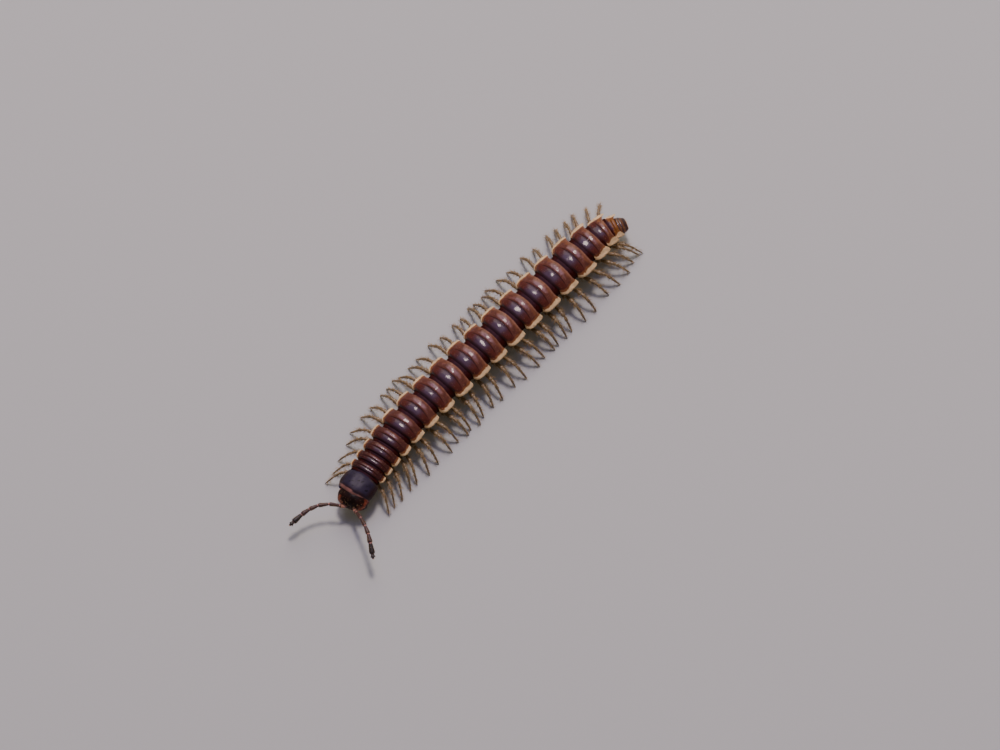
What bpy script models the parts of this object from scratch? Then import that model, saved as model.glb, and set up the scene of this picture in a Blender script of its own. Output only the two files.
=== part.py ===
"""Greenhouse millipede, Oxidus gracilis: a still, life-size model of an adult female.

Sizes are in millimetres and the finished meshes in metres. The head points towards -X, the tail
towards +X and the animal's right side towards +Y, with +Z up. The animal stands on z = 0 on a
small flat under each foot, and the origin is at the bottom centre of its box.

The body is a head and twenty rings: the collum, rings 2 to 19 and the telson. Every ring lies
across one curved centre line and meets its neighbours face to face with a thin gap.
"""

import math

import bmesh
import bpy
import numpy as np
from mathutils import Vector

MM = 0.001
JOINT_GAP = 0.05
RING_COUNT = 20
LUMP_SIDES = 10
LUMP_ROWS = 6
SEED = 11

# Length of each ring that shows along the body: the collum, rings 2 to 19, the telson
RING_LENGTH = (
    1.10, 0.50, 0.56, 0.67, 0.83, 1.08, 1.13, 1.13, 1.28, 1.23,
    1.18, 1.28, 1.22, 1.27, 1.23, 1.28, 1.04, 0.86, 0.50, 0.54,
)

# The centre line: where the collum begins, and its bearing from +X in degrees.
# A bend is (distance along the body, length over which it turns).
COLLUM_START = (-10.08, -0.81)
FRONT_BEARING = 11.5
MIDDLE_BEARING = 1.5
TAIL_BEARING = -25.0
FRONT_BEND = (4.2, 0.9)
TAIL_BEND = (18.80, 0.30)

# Sizes by ring number, straight between the entries. The keels' rear corners are drawn back, and
# each ring is bowed in plan, so that its sides lie ahead of its middle.
HALF_WIDTH = (
    (1, 0.91), (2, 0.94), (4, 0.99), (5, 1.06), (9, 1.14), (16, 1.13), (17, 1.02), (18, 0.84), (19, 0.62),
)
BACK_HEIGHT = ((1, 1.66), (4, 1.76), (6, 1.86), (16, 1.87), (17, 1.80), (18, 1.62), (19, 1.40), (20, 1.25))
BELLY_HEIGHT = ((1, 0.66), (4, 0.54), (6, 0.52), (17, 0.52), (18, 0.54), (19, 0.58), (20, 0.60))
CORNER_DRAWN_BACK = ((2, 0.03), (6, 0.06), (12, 0.10), (16, 0.18), (17, 0.20), (18, 0.22), (19, 0.18))
SIDES_AHEAD = ((2, 0.05), (5, 0.11), (7, 0.19), (14, 0.19), (16, 0.13), (17, 0.05), (18, 0.0))

# Half outline of a ring, from the middle of the back over the keel to the middle of the belly.
# Each pair is (share of the half width, share of the height between belly and back).
KEELED_OUTLINE = (
    (0.00, 1.00), (0.27, 0.98), (0.52, 0.91), (0.72, 0.805), (0.88, 0.70), (1.00, 0.635),
    (0.985, 0.56), (0.80, 0.545), (0.65, 0.46), (0.62, 0.28), (0.46, 0.09), (0.00, 0.00),
)
NECKED_OUTLINE = (
    (0.00, 0.90), (0.23, 0.885), (0.42, 0.84), (0.55, 0.77), (0.62, 0.69), (0.64, 0.61),
    (0.64, 0.53), (0.63, 0.45), (0.61, 0.37), (0.56, 0.25), (0.41, 0.11), (0.00, 0.04),
)
COLLUM_OUTLINE = (
    (0.00, 1.00), (0.30, 0.975), (0.57, 0.89), (0.79, 0.75), (0.94, 0.60), (1.00, 0.48),
    (0.985, 0.40), (0.86, 0.345), (0.74, 0.29), (0.62, 0.20), (0.42, 0.07), (0.00, 0.00),
)
TELSON_OUTLINE = (
    (0.00, 1.00), (0.30, 0.97), (0.57, 0.90), (0.79, 0.80), (0.94, 0.67), (1.00, 0.53),
    (0.97, 0.41), (0.88, 0.30), (0.76, 0.21), (0.60, 0.12), (0.34, 0.03), (0.00, 0.00),
)

# Stations along a ring: (share of its length, keel spread, rise of the back, depth of a furrow)
RING_STATIONS = (
    (0.00, 0.00, 0.00, 0.00),
    (0.12, 0.00, 0.10, 0.00),
    (0.19, 0.10, 0.05, 0.00),
    (0.26, 0.55, 0.75, 0.00),
    (0.40, 0.90, 0.98, 0.00),
    (0.57, 0.99, 1.00, 0.06),
    (0.78, 1.00, 1.02, 0.00),
    (1.00, 0.94, 1.00, 0.06),
)

# The bow is full from this share of a ring's length on. A furrow reaches out to a share of the
# half width, and the corners begin at a share of the length and move the rows of the keel.
BOW_FULL_AT = 0.30
FURROW_REACH = 0.80
CORNER_STARTS = 0.60
KEEL_ROWS = slice(3, 9)
KEEL_CORNER = np.array((0.25, 0.80, 1.00, 0.90, 0.35, 0.0))

# Stations along the collum: (share of its length, share of the half width, drop of the back)
COLLUM_STATIONS = (
    (0.00, 0.90, 0.16),
    (0.10, 0.96, 0.07),
    (0.32, 1.00, 0.01),
    (0.60, 0.99, 0.00),
    (0.86, 0.95, 0.04),
    (1.00, 0.90, 0.11),
)

# Stations along the telson: (share of its length, half width, height of back, height of belly)
TELSON_STATIONS = (
    (0.00, 0.47, 1.24, 0.61),
    (0.22, 0.47, 1.22, 0.60),
    (0.48, 0.44, 1.17, 0.63),
    (0.70, 0.39, 1.11, 0.70),
    (0.88, 0.33, 1.05, 0.76),
    (1.00, 0.26, 0.99, 0.80),
)
ANAL_VALVE_CENTRE = (0.55, 0.14, 0.69)
ANAL_VALVE_RADII = (0.25, 0.18, 0.20)

# Legs: pairs by ring, where they grow, and their stations from root to foot.
# Each station is (share of the reach, height, radius); the root's height is from the belly.
LEG_SIDES = 5
LEG_ROOT_ACROSS = 0.20
LEG_ROOT_SINK = 0.17
LEG_REACH = 2.14
REACH_BY_SIZE = 0.4
LEG_STATIONS = (
    (0.20, 0.57, 0.120),
    (0.33, 0.71, 0.142),
    (0.45, 0.80, 0.102),
    (0.57, 0.82, 0.124),
    (0.69, 0.74, 0.086),
    (0.79, 0.57, 0.098),
    (0.90, 0.28, 0.066),
)
LEG_ROOT_RADIUS = 0.135
FOOT_RADIUS = 0.052
LEG_SIZE = ((2, 0.74), (4, 0.82), (6, 0.95), (8, 1.00), (16, 1.00), (17, 0.92), (18, 0.72))
LEG_PLACES = {1: (0.55,), 2: (0.42, 0.82)}
LEG_SWEEP = 1.7
PAIRS_BY_RING = {**{ring: 1 for ring in (2, 3, 4)}, **{ring: 2 for ring in range(5, 19)}}
LEAN_BY_PAIR = ((0, 34.0), (3, 20.0), (8, 3.0), (22, -3.0), (27, -16.0), (30, -42.0))
GAIT_SWING = 9.0
GAIT_PERIOD = 9.5
SIDE_PHASE = 0.6
LEG_VARIATION = 0.04

# Head: its dome, which grows forward from the collum. Centres of the lumps on it are
# (forward, across, height), and its front is turned to the left by an angle in radians.
HEAD_LENGTH = 0.57
HEAD_HALF_WIDTH = 0.83
HEAD_TOP = 1.50
HEAD_BOTTOM = 0.36
HEAD_SQUARED = 0.86
HEAD_NARROWING = 2.2
HEAD_TURNED = 0.25
MOUTH_DRAWN_BACK = 0.58
MOUTH_BELOW = 0.83
HEAD_STATIONS = (0.0, 0.22, 0.44, 0.64, 0.80, 0.91, 0.98)
HEAD_SIDES = 20
CHEEK_CENTRE = (0.10, 0.59, 0.86)
CHEEK_RADII = (0.20, 0.23, 0.32)
CHIN_CENTRE = (0.10, 0.0, 0.42)
CHIN_RADII = (0.20, 0.44, 0.15)
LIP_CENTRE = (0.33, 0.0, 0.52)
LIP_RADII = (0.13, 0.34, 0.18)

# Antennae: eight articles each, as lengths and largest radii from root to tip
SOCKET_HEIGHT = 1.00
SOCKET_ACROSS = 0.23
SOCKET_RADIUS = 0.13
SOCKET_DEPTH = 0.16
SOCKET_STANDS_OUT = 0.03
SOCKET_FACES_OUT = 0.35
SOCKET_FACES_UP = 0.12
SOCKET_SIDES = 8
ANTENNA_SIDES = 6
ARTICLE_LENGTH = (0.22, 0.52, 0.53, 0.45, 0.45, 0.55, 0.17, 0.06)
ARTICLE_RADIUS = (0.100, 0.098, 0.102, 0.108, 0.120, 0.138, 0.112, 0.060)
ARTICLE_WAIST = 0.66
ARTICLE_CLUB = 0.72

# Bearing from +X in the plan and rise of each article, in degrees
RIGHT_BEARINGS = (120.0, 129.0, 143.0, 158.0, 168.0, 176.0, 176.0, 176.0)
RIGHT_RISES = (14.0, 8.0, 0.0, -6.0, -10.0, -10.0, -8.0, -8.0)
LEFT_BEARINGS = (-98.0, -108.0, -111.0, -116.0, -122.0, -124.0, -124.0, -126.0)
LEFT_RISES = (30.0, 28.0, 14.0, 0.0, -14.0, -20.0, -16.0, -12.0)

# Colour and roughness of the cuticle
HEAD_SKIN = ("#4A2418", 0.30)
ANTENNA_SKIN = ("#3A1F1A", 0.45)
COLLUM_SKIN = ("#2C1A20", 0.25)
RING_SKIN = ("#4B2320", 0.30)
TELSON_SKIN = ("#4B2A1A", 0.35)
SHARP_ANGLE = 40.0


def value_at(table, place):
    """Value of a table of (place, value) pairs, straight between its entries."""
    return float(np.interp(place, [row[0] for row in table], [row[1] for row in table]))


def step_up(distance, middle_and_width):
    """Smooth step from 0 to 1 about a middle, over a width."""
    middle, width = middle_and_width
    return 1.0 / (1.0 + np.exp(-(distance - middle) / width))


def centre_line():
    """Distances, plan positions and bearings of the body's centre line.

    The bearing falls from the front value to the middle one and then to the tail's, each over
    a smooth step, and the positions are its running sum from the start of the collum.
    """
    along = np.linspace(-2.0, sum(RING_LENGTH) + 1.0, 2301)
    bearing = FRONT_BEARING + (MIDDLE_BEARING - FRONT_BEARING) * step_up(along, FRONT_BEND)
    bearing = np.radians(bearing + (TAIL_BEARING - MIDDLE_BEARING) * step_up(along, TAIL_BEND))
    step = along[1] - along[0]
    x = np.cumsum(np.cos(bearing)) * step
    y = np.cumsum(np.sin(bearing)) * step
    x += COLLUM_START[0] - np.interp(0.0, along, x)
    y += COLLUM_START[1] - np.interp(0.0, along, y)
    return along, x, y, bearing


LINE = centre_line()


def place(along, across, height):
    """Points from the distance along the body, the distance to its right and the height."""
    along = np.asarray(along, dtype=float)
    bearing = np.interp(along, LINE[0], LINE[3])
    x = np.interp(along, LINE[0], LINE[1]) - np.sin(bearing) * across
    y = np.interp(along, LINE[0], LINE[2]) + np.cos(bearing) * across
    return np.stack(np.broadcast_arrays(x, y, height), axis=-1)


def ring_start(ring):
    """Distance along the body at which a ring begins."""
    return sum(RING_LENGTH[: ring - 1])


def both_sides(across, height, along):
    """A closed loop from one half of an outline: down the right side and up the left one."""
    inner = slice(-2, 0, -1)
    across = np.concatenate((across, -across[inner]))
    height = np.concatenate((height, height[inner]))
    along = np.concatenate((along, along[inner]))
    return place(along, across, height)


def outline_loop(outline, along, half_width, back, belly):
    """A loop of the given outline across the body at one distance along it."""
    shares = np.array(outline)
    height = belly + shares[:, 1] * (back - belly)
    return both_sides(shares[:, 0] * half_width, height, np.full(len(shares), along))


def lofted(name, loops):
    """A closed mesh object through a list of loops of equal size, capped at both ends."""
    count = len(loops[0])
    mesh = bmesh.new()
    rows = [[mesh.verts.new(Vector(point)) for point in loop] for loop in loops]
    for row, following in zip(rows, rows[1:]):
        for i in range(count):
            j = (i + 1) % count
            mesh.faces.new((row[i], following[i], following[j]))
            mesh.faces.new((row[i], following[j], row[j]))
    mesh.faces.new(rows[0])
    mesh.faces.new(rows[-1][::-1])
    bmesh.ops.recalc_face_normals(mesh, faces=mesh.faces)
    bmesh.ops.triangulate(mesh, faces=[face for face in mesh.faces if len(face.verts) > 3])
    return new_object(name, mesh)


def new_object(name, mesh):
    """A scene object that holds a bmesh, which is freed."""
    data = bpy.data.meshes.new(name)
    mesh.to_mesh(data)
    mesh.free()
    made = bpy.data.objects.new(name, data)
    bpy.context.scene.collection.objects.link(made)
    return made


def ellipsoid(name, centre, radii):
    """A closed ellipsoid in the head's or the telson's frame: (along, across, height)."""
    mesh = bmesh.new()
    bmesh.ops.create_uvsphere(mesh, u_segments=LUMP_SIDES, v_segments=LUMP_ROWS, radius=1.0)
    local = np.array([vert.co[:] for vert in mesh.verts]) * np.array(radii) + np.array(centre)
    for vert, point in zip(mesh.verts, place(local[:, 0], local[:, 1], local[:, 2])):
        vert.co = Vector(point)
    bmesh.ops.recalc_face_normals(mesh, faces=mesh.faces)
    return new_object(name, mesh)


def keep_largest_surface(mesh):
    """Removes all but the largest connected surface of a bmesh."""
    waiting = set(mesh.verts)
    surfaces = []
    while waiting:
        edge = [waiting.pop()]
        surface = set(edge)
        while edge:
            for link in edge.pop().link_edges:
                for vert in link.verts:
                    if vert in waiting:
                        waiting.discard(vert)
                        surface.add(vert)
                        edge.append(vert)
        surfaces.append(surface)
    surfaces.sort(key=len)
    for surface in surfaces[:-1]:
        bmesh.ops.delete(mesh, geom=list(surface), context="VERTS")


def joined(base, pieces):
    """Unites a base with closed pieces into one solid and removes the pieces."""
    helpers = bpy.data.collections.new("pieces_of_" + base.name)
    bpy.context.scene.collection.children.link(helpers)
    for piece in pieces:
        bpy.context.scene.collection.objects.unlink(piece)
        helpers.objects.link(piece)
    union = base.modifiers.new("union", "BOOLEAN")
    union.operation = "UNION"
    union.operand_type = "COLLECTION"
    union.collection = helpers
    union.solver = "EXACT"
    view = bpy.context.evaluated_depsgraph_get()
    mesh = bmesh.new()
    mesh.from_mesh(base.evaluated_get(view).data)
    base.modifiers.remove(union)
    keep_largest_surface(mesh)
    bmesh.ops.triangulate(mesh, faces=mesh.faces)
    mesh.to_mesh(base.data)
    mesh.free()
    for piece in pieces:
        bpy.data.objects.remove(piece)
    bpy.data.collections.remove(helpers)
    return base


def sized(outline, ring):
    """The widths and heights of an outline at a ring's size."""
    shares = np.array(outline)
    belly = value_at(BELLY_HEIGHT, ring)
    back = value_at(BACK_HEIGHT, ring)
    return shares[:, 0] * value_at(HALF_WIDTH, ring), belly + shares[:, 1] * (back - belly)


def ring_loop(ring, station, along):
    """A loop of a keeled ring at one station, between its neck and its full outline.

    The neck has the size of the ring that it enters. The keel's spread moves the outline
    sideways and the back's rise moves it in height. A furrow lowers the back, most at the
    middle, and fades out towards the keels. The loop bows back at the middle: its sides lie
    ahead of it with the square of the distance across.
    """
    share, spread, rise, furrow = station
    neck_across, neck_height = sized(NECKED_OUTLINE, ring - 1)
    full_across, full_height = sized(KEELED_OUTLINE, ring)
    across = neck_across + (full_across - neck_across) * spread
    height = neck_height + (full_height - neck_height) * rise
    reach = FURROW_REACH * value_at(HALF_WIDTH, ring)
    middle = (full_height[0] + full_height[-1]) / 2
    height = height - furrow * np.clip(1.0 - (across / reach) ** 2, 0.0, 1.0) * (height > middle)
    bow = value_at(SIDES_AHEAD, ring) * min(1.0, share / BOW_FULL_AT)
    drawn = -bow * (across / value_at(HALF_WIDTH, ring)) ** 2
    corner = max(0.0, (share - CORNER_STARTS) / (1.0 - CORNER_STARTS))
    drawn[KEEL_ROWS] += value_at(CORNER_DRAWN_BACK, ring) * KEEL_CORNER * corner
    return both_sides(across, height, along + drawn)


def keeled_ring(ring):
    """One of the rings 2 to 19: a neck that enters the ring before it, then the keeled part.

    The last loop lies in the rear face and is the outline of the neck that comes next, so the
    keels' corners can stand behind that face.
    """
    start = ring_start(ring) + JOINT_GAP / 2
    end = ring_start(ring + 1) - JOINT_GAP / 2
    loops = [ring_loop(ring, s, start + s[0] * (end - start)) for s in RING_STATIONS]
    across, height = sized(NECKED_OUTLINE, ring)
    loops.append(both_sides(across, height, np.full(len(across), end)))
    return lofted(f"ring_{ring:02d}", loops)


def leg_lean(pair, side):
    """Angle of a leg in the plan, in degrees towards the head: the fan and the walking wave."""
    wave = math.sin(2 * math.pi * pair / GAIT_PERIOD + SIDE_PHASE * side)
    return value_at(LEAN_BY_PAIR, pair) + GAIT_SWING * wave


def loops_along(path, radii, sides, first=None):
    """Round loops across a path in space, of which the first may face a given way."""
    path = np.array(path)
    slope = np.gradient(path, axis=0)
    if first is not None:
        slope[0] = first
    slope /= np.linalg.norm(slope, axis=1)[:, None]
    beside = np.cross(slope, (0.0, 0.0, 1.0))
    beside /= np.linalg.norm(beside, axis=1)[:, None]
    above = np.cross(beside, slope)
    corners = 2 * math.pi * (np.arange(sides) + 0.5) / sides
    ring = np.cos(corners)[None, :, None] * above[:, None] + np.sin(corners)[None, :, None] * beside[:, None]
    return path[:, None] + np.array(radii)[:, None, None] * ring


def leg(name, ring, along, side, lean, size, vary):
    """One leg as a tube of few sides, from inside the belly to a small flat foot on the floor.

    It leaves the body straight outwards and sweeps forwards or back by its lean as it goes, with
    the share of the reach to the power of the sweep.
    """
    belly = value_at(BELLY_HEIGHT, ring)
    reach = LEG_REACH * (1.0 - REACH_BY_SIZE * (1.0 - size)) * vary[0]
    shares = np.array([0.0] + [station[0] for station in LEG_STATIONS] + [1.0])
    heights = [belly + LEG_ROOT_SINK] + [station[1] * vary[1] for station in LEG_STATIONS] + [0.0]
    radii = [LEG_ROOT_RADIUS] + [station[2] for station in LEG_STATIONS] + [FOOT_RADIUS]
    across = LEG_ROOT_ACROSS + shares * reach * math.cos(math.radians(lean))
    swept = shares**LEG_SWEEP * reach * math.sin(math.radians(lean))
    bearing = np.interp(along, LINE[0], LINE[3])
    outward = np.array((-math.sin(bearing), math.cos(bearing), 0.0)) * side
    ahead = -np.array((math.cos(bearing), math.sin(bearing), 0.0))
    path = place(along, 0.0, 0.0) + across[:, None] * outward + swept[:, None] * ahead
    path[:, 2] = heights
    loops = loops_along(path, np.array(radii) * size, LEG_SIDES)
    flat = loops[-1] - path[-1]
    flat[:, 2] = 0.0
    flat *= (FOOT_RADIUS * size / np.linalg.norm(flat, axis=1))[:, None]
    loops[-1] = path[-1] + flat
    return lofted(name, loops)


def ring_with_legs(ring, first_pair, chance):
    """A ring united with its one or two pairs of legs."""
    body = keeled_ring(ring)
    places = LEG_PLACES[PAIRS_BY_RING[ring]]
    size = value_at(LEG_SIZE, ring)
    legs = []
    for number, share in enumerate(places):
        along = ring_start(ring) + share * RING_LENGTH[ring - 1]
        for side in (-1, 1):
            lean = leg_lean(first_pair + number, side)
            vary = 1 + LEG_VARIATION * chance.uniform(-1, 1, 2)
            legs.append(leg(f"leg_{first_pair + number}_{side}", ring, along, side, lean, size, vary))
    return joined(body, legs)


def collum():
    """The first ring, a smooth domed shield behind the head."""
    start = JOINT_GAP / 2
    end = RING_LENGTH[0] - JOINT_GAP / 2
    back = value_at(BACK_HEIGHT, 1)
    belly = value_at(BELLY_HEIGHT, 1)
    half_width = value_at(HALF_WIDTH, 1)
    loops = []
    for share, width, drop in COLLUM_STATIONS:
        along = start + share * (end - start)
        loops.append(outline_loop(COLLUM_OUTLINE, along, width * half_width, back - drop, belly))
    return lofted("collum", loops)


def telson():
    """The last ring: a cone that ends in a blunt tip over the two anal valves."""
    start = ring_start(RING_COUNT) + JOINT_GAP / 2
    length = RING_LENGTH[-1] - JOINT_GAP / 2
    loops = []
    for share, half_width, back, belly in TELSON_STATIONS:
        loops.append(outline_loop(TELSON_OUTLINE, start + share * length, half_width, back, belly))
    body = lofted("telson", loops)
    valves = []
    for side in (-1, 1):
        centre = (start + ANAL_VALVE_CENTRE[0] * length, side * ANAL_VALVE_CENTRE[1], ANAL_VALVE_CENTRE[2])
        valves.append(ellipsoid(f"valve_{side}", centre, ANAL_VALVE_RADII))
    return joined(body, valves)


def turned(forward, across):
    """Places on the head after its turn to the left, by an angle that grows towards its front."""
    angle = HEAD_TURNED * np.clip(forward / HEAD_LENGTH, 0.0, 1.0)
    return forward + angle * across, across - angle * forward


def head_loop(share):
    """A loop of the head's dome at a share of its length forward of the collum.

    The width and the height follow a squared-off ellipse of the share, and the lower face is
    drawn back towards the mouth.
    """
    angle = 2 * math.pi * np.arange(HEAD_SIDES) / HEAD_SIDES
    narrowing = math.sqrt(1.0 - share**HEAD_NARROWING)
    middle = (HEAD_TOP + HEAD_BOTTOM) / 2
    tall = (HEAD_TOP - HEAD_BOTTOM) / 2
    across = np.sign(np.sin(angle)) * np.abs(np.sin(angle)) ** HEAD_SQUARED * HEAD_HALF_WIDTH * narrowing
    height = middle + np.sign(np.cos(angle)) * np.abs(np.cos(angle)) ** HEAD_SQUARED * tall * narrowing
    lower = np.clip((MOUTH_BELOW - height) / tall, 0.0, 1.0)
    forward, across = turned(share * HEAD_LENGTH * (1.0 - MOUTH_DRAWN_BACK * lower), across)
    return place(-JOINT_GAP / 2 - forward, across, height)


def head_lump(name, centre, radii, side=1):
    """An ellipsoid of the head, whose centre is (forward, across, height) before the turn."""
    forward, across = turned(centre[0], side * centre[1])
    return ellipsoid(name, (-forward, across, centre[2]), radii)


def socket_frame(side):
    """Where an antenna's socket ends on the head, and the direction it faces."""
    share = (1.0 - (SOCKET_ACROSS / HEAD_HALF_WIDTH) ** 2) ** (1.0 / HEAD_NARROWING)
    forward, across = turned(share * HEAD_LENGTH, side * SOCKET_ACROSS)
    point = place(-JOINT_GAP / 2 - forward, across, SOCKET_HEIGHT)
    ahead = place(-1.0, 0.0, 0.0) - place(0.0, 0.0, 0.0)
    right = place(0.0, 1.0, 0.0) - place(0.0, 0.0, 0.0)
    outward = side * SOCKET_FACES_OUT - HEAD_TURNED
    facing = ahead + right * outward + np.array((0.0, 0.0, SOCKET_FACES_UP))
    facing /= np.linalg.norm(facing)
    return point + facing * SOCKET_STANDS_OUT, facing


def tube(name, path, radii, sides, first):
    """A closed tube of round loops across a path."""
    return lofted(name, loops_along(path, radii, sides, first))


def head():
    """The head: a squared dome with cheeks, upper lip and chin, and the antennae's sockets."""
    body = lofted("head", [head_loop(share) for share in HEAD_STATIONS])
    pieces = [head_lump("chin", CHIN_CENTRE, CHIN_RADII), head_lump("lip", LIP_CENTRE, LIP_RADII)]
    for side in (-1, 1):
        pieces.append(head_lump(f"cheek_{side}", CHEEK_CENTRE, CHEEK_RADII, side))
        point, facing = socket_frame(side)
        path = (point - facing * SOCKET_DEPTH, point)
        radii = (SOCKET_RADIUS, SOCKET_RADIUS)
        pieces.append(tube(f"socket_{side}", path, radii, SOCKET_SIDES, facing))
    return joined(body, pieces)


def antenna(name, side, bearings, rises):
    """An antenna of eight articles, each a little club with a narrow waist at its root."""
    point, facing = socket_frame(side)
    here = point + facing * JOINT_GAP
    path = []
    radii = []
    for length, radius, bearing, rise in zip(ARTICLE_LENGTH, ARTICLE_RADIUS, bearings, rises):
        turn = math.radians(bearing)
        lift = math.radians(rise)
        way = np.array((math.cos(lift) * math.cos(turn), math.cos(lift) * math.sin(turn), math.sin(lift)))
        path += [here, here + way * length * ARTICLE_CLUB]
        radii += [radius * ARTICLE_WAIST, radius]
        here = here + way * length
    path.append(here)
    radii.append(ARTICLE_RADIUS[-1] * ARTICLE_WAIST)
    return tube(name, path, radii, ANTENNA_SIDES, facing)


def linear(hex_colour):
    """Linear colour from an sRGB hex string."""
    values = [int(hex_colour[i : i + 2], 16) / 255 for i in (1, 3, 5)]
    return [v / 12.92 if v <= 0.04045 else ((v + 0.055) / 1.055) ** 2.4 for v in values]


def dress(item, skin):
    """Gives an object a Principled material of its own."""
    hex_colour, roughness = skin
    material = bpy.data.materials.new(item.name + "_cuticle")
    material.use_nodes = True
    shader = material.node_tree.nodes["Principled BSDF"]
    shader.inputs["Base Color"].default_value = (*linear(hex_colour), 1.0)
    shader.inputs["Roughness"].default_value = roughness
    shader.inputs["Metallic"].default_value = 0.0
    item.data.materials.append(material)
    item.data.shade_smooth()
    item.data.set_sharp_from_angle(angle=math.radians(SHARP_ANGLE))


def settle(items):
    """Moves all meshes so that the box's bottom centre is the origin, and into metres."""
    points = np.concatenate([np.array([v.co[:] for v in item.data.vertices]) for item in items])
    low = points.min(axis=0)
    high = points.max(axis=0)
    offset = np.array(((low[0] + high[0]) / 2, (low[1] + high[1]) / 2, 0.0))
    for item in items:
        for vert in item.data.vertices:
            vert.co = Vector((np.array(vert.co[:]) - offset) * MM)


def main():
    """Builds every node, dresses it and brings the animal to its place."""
    for item in list(bpy.data.objects):
        bpy.data.objects.remove(item)
    chance = np.random.default_rng(SEED)
    skins = [
        (head(), HEAD_SKIN),
        (antenna("antenna_right", 1, RIGHT_BEARINGS, RIGHT_RISES), ANTENNA_SKIN),
        (antenna("antenna_left", -1, LEFT_BEARINGS, LEFT_RISES), ANTENNA_SKIN),
        (collum(), COLLUM_SKIN),
    ]
    pair = 0
    for ring in range(2, RING_COUNT):
        pairs = PAIRS_BY_RING.get(ring, 0)
        made = ring_with_legs(ring, pair, chance) if pairs else keeled_ring(ring)
        skins.append((made, RING_SKIN))
        pair += pairs
    skins.append((telson(), TELSON_SKIN))
    for made, skin in skins:
        dress(made, skin)
    settle([made for made, skin in skins])


main()
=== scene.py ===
"""The looks of the greenhouse millipede, Oxidus gracilis: a life-size still model in fine detail.

Each sub-assembly of the animal is a class that works out its surfaces with numpy, in millimetres
in the object's own frame, and puts them into meshes in metres. The head points towards -X, the
animal's right side towards +Y, and it stands on z = 0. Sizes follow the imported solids, so each
dressed piece takes the place of the solid of its name.
"""

import logging
import math
from dataclasses import dataclass, field
from enum import Enum
from typing import Optional

import bpy
import numpy as np
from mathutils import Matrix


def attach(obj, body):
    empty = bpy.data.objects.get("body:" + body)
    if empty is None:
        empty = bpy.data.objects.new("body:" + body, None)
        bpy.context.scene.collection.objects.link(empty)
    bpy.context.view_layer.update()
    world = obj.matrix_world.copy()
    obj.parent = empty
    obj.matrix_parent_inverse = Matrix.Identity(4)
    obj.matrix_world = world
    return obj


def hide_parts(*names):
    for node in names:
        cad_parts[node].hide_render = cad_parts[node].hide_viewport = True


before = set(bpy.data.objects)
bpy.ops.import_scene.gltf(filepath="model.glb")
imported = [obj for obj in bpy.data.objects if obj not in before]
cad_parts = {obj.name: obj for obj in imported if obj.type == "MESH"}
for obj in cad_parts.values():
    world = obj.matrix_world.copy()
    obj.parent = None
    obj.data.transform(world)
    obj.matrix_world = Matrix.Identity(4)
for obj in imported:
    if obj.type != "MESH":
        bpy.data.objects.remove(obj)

log = logging.getLogger("millipede")

MM = 0.001
BODY = "root"
HAIR_MAP = "OFBake"
FIRST_RING = 2
LAST_RING = 19
TINY = 1e-12
CHITIN_IOR = 1.56

# Inputs 1 and 2 of a Map Range node, for most of the values that a noise takes.
NOISE_RANGE = {1: 0.3, 2: 0.7}

# The hair map has a strip for each ring, which its hairs fill by their place along the ring.
MAP_STRIPS = 21
MAP_STRIP_PARTS = 25

Table = tuple[tuple[float, ...], ...]


class Side(Enum):
    """The two sides of the animal, as the sign of the distance across the body."""

    RIGHT = 1
    LEFT = -1


class Slot(Enum):
    """The record's material slots."""

    HEAD = "head_cuticle"
    ANTENNA = "antenna_cuticle"
    COLLUM = "collum_cuticle"
    RING = "ring_cuticle"
    TELSON = "telson_cuticle"


# Curves and surfaces as arrays


def straight(table: Table, place: float) -> float:
    """Value of a table of (place, value) rows at one place, straight between its rows.

    Args:
        table: rows of place and value, in rising order of place.
        place: where to read it.

    Returns:
        The value there.
    """
    rows = np.array(table)
    return float(np.interp(place, rows[:, 0], rows[:, 1]))


def spread_rows(table: np.ndarray, count: int) -> np.ndarray:
    """Places of rows that are shared out evenly over the rows of a table, not over its length.

    Args:
        table: its first column holds the places, in rising order.
        count: number of rows wanted.

    Returns:
        Places of shape (count,).
    """
    return np.interp(np.linspace(0, len(table) - 1, count), np.arange(len(table)), table[:, 0])


def full_turn(count: int) -> np.ndarray:
    """Angles of a number of even steps around a full turn, in radians."""
    return 2 * math.pi * np.arange(count) / count


def eased(knots: np.ndarray, values: np.ndarray, places: np.ndarray) -> np.ndarray:
    """Smooth curve through values at knots that never overshoots them.

    Between two knots it is a cubic whose slope at each knot is the harmonic mean of the slopes of
    the two chords that meet there, or level where one chord rises and the other falls.

    Args:
        knots: rising places, shape (n,).
        values: values there, shape (n, ...).
        places: where to read the curve, shape (m,).

    Returns:
        Values of shape (m, ...).
    """
    knots = np.asarray(knots, float)
    values = np.asarray(values, float)
    shape = (-1,) + (1,) * (values.ndim - 1)
    wide = np.diff(knots).reshape(shape)
    chord = np.diff(values, axis=0) / wide
    product = chord[:-1] * chord[1:]
    total = chord[:-1] + chord[1:]
    inner = np.where(product > 0, 2 * product / np.where(total == 0, 1.0, total), 0.0)
    slope = np.concatenate((chord[:1], inner, chord[-1:]))
    at = np.clip(np.searchsorted(knots, places, side="right") - 1, 0, len(knots) - 2)
    t = ((places - knots[at]) / np.diff(knots)[at]).reshape(shape)
    h = wide[at]
    start = (1 + 2 * t) * (1 - t) ** 2 * values[at] + t * (1 - t) ** 2 * h * slope[at]
    return start + t**2 * (3 - 2 * t) * values[at + 1] + t**2 * (t - 1) * h * slope[at + 1]


def ramp(low: float, high: float, values: np.ndarray) -> np.ndarray:
    """Smooth step from 0 below the low value to 1 above the high one."""
    t = np.clip((values - low) / (high - low), 0.0, 1.0)
    return t * t * (3 - 2 * t)


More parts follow.
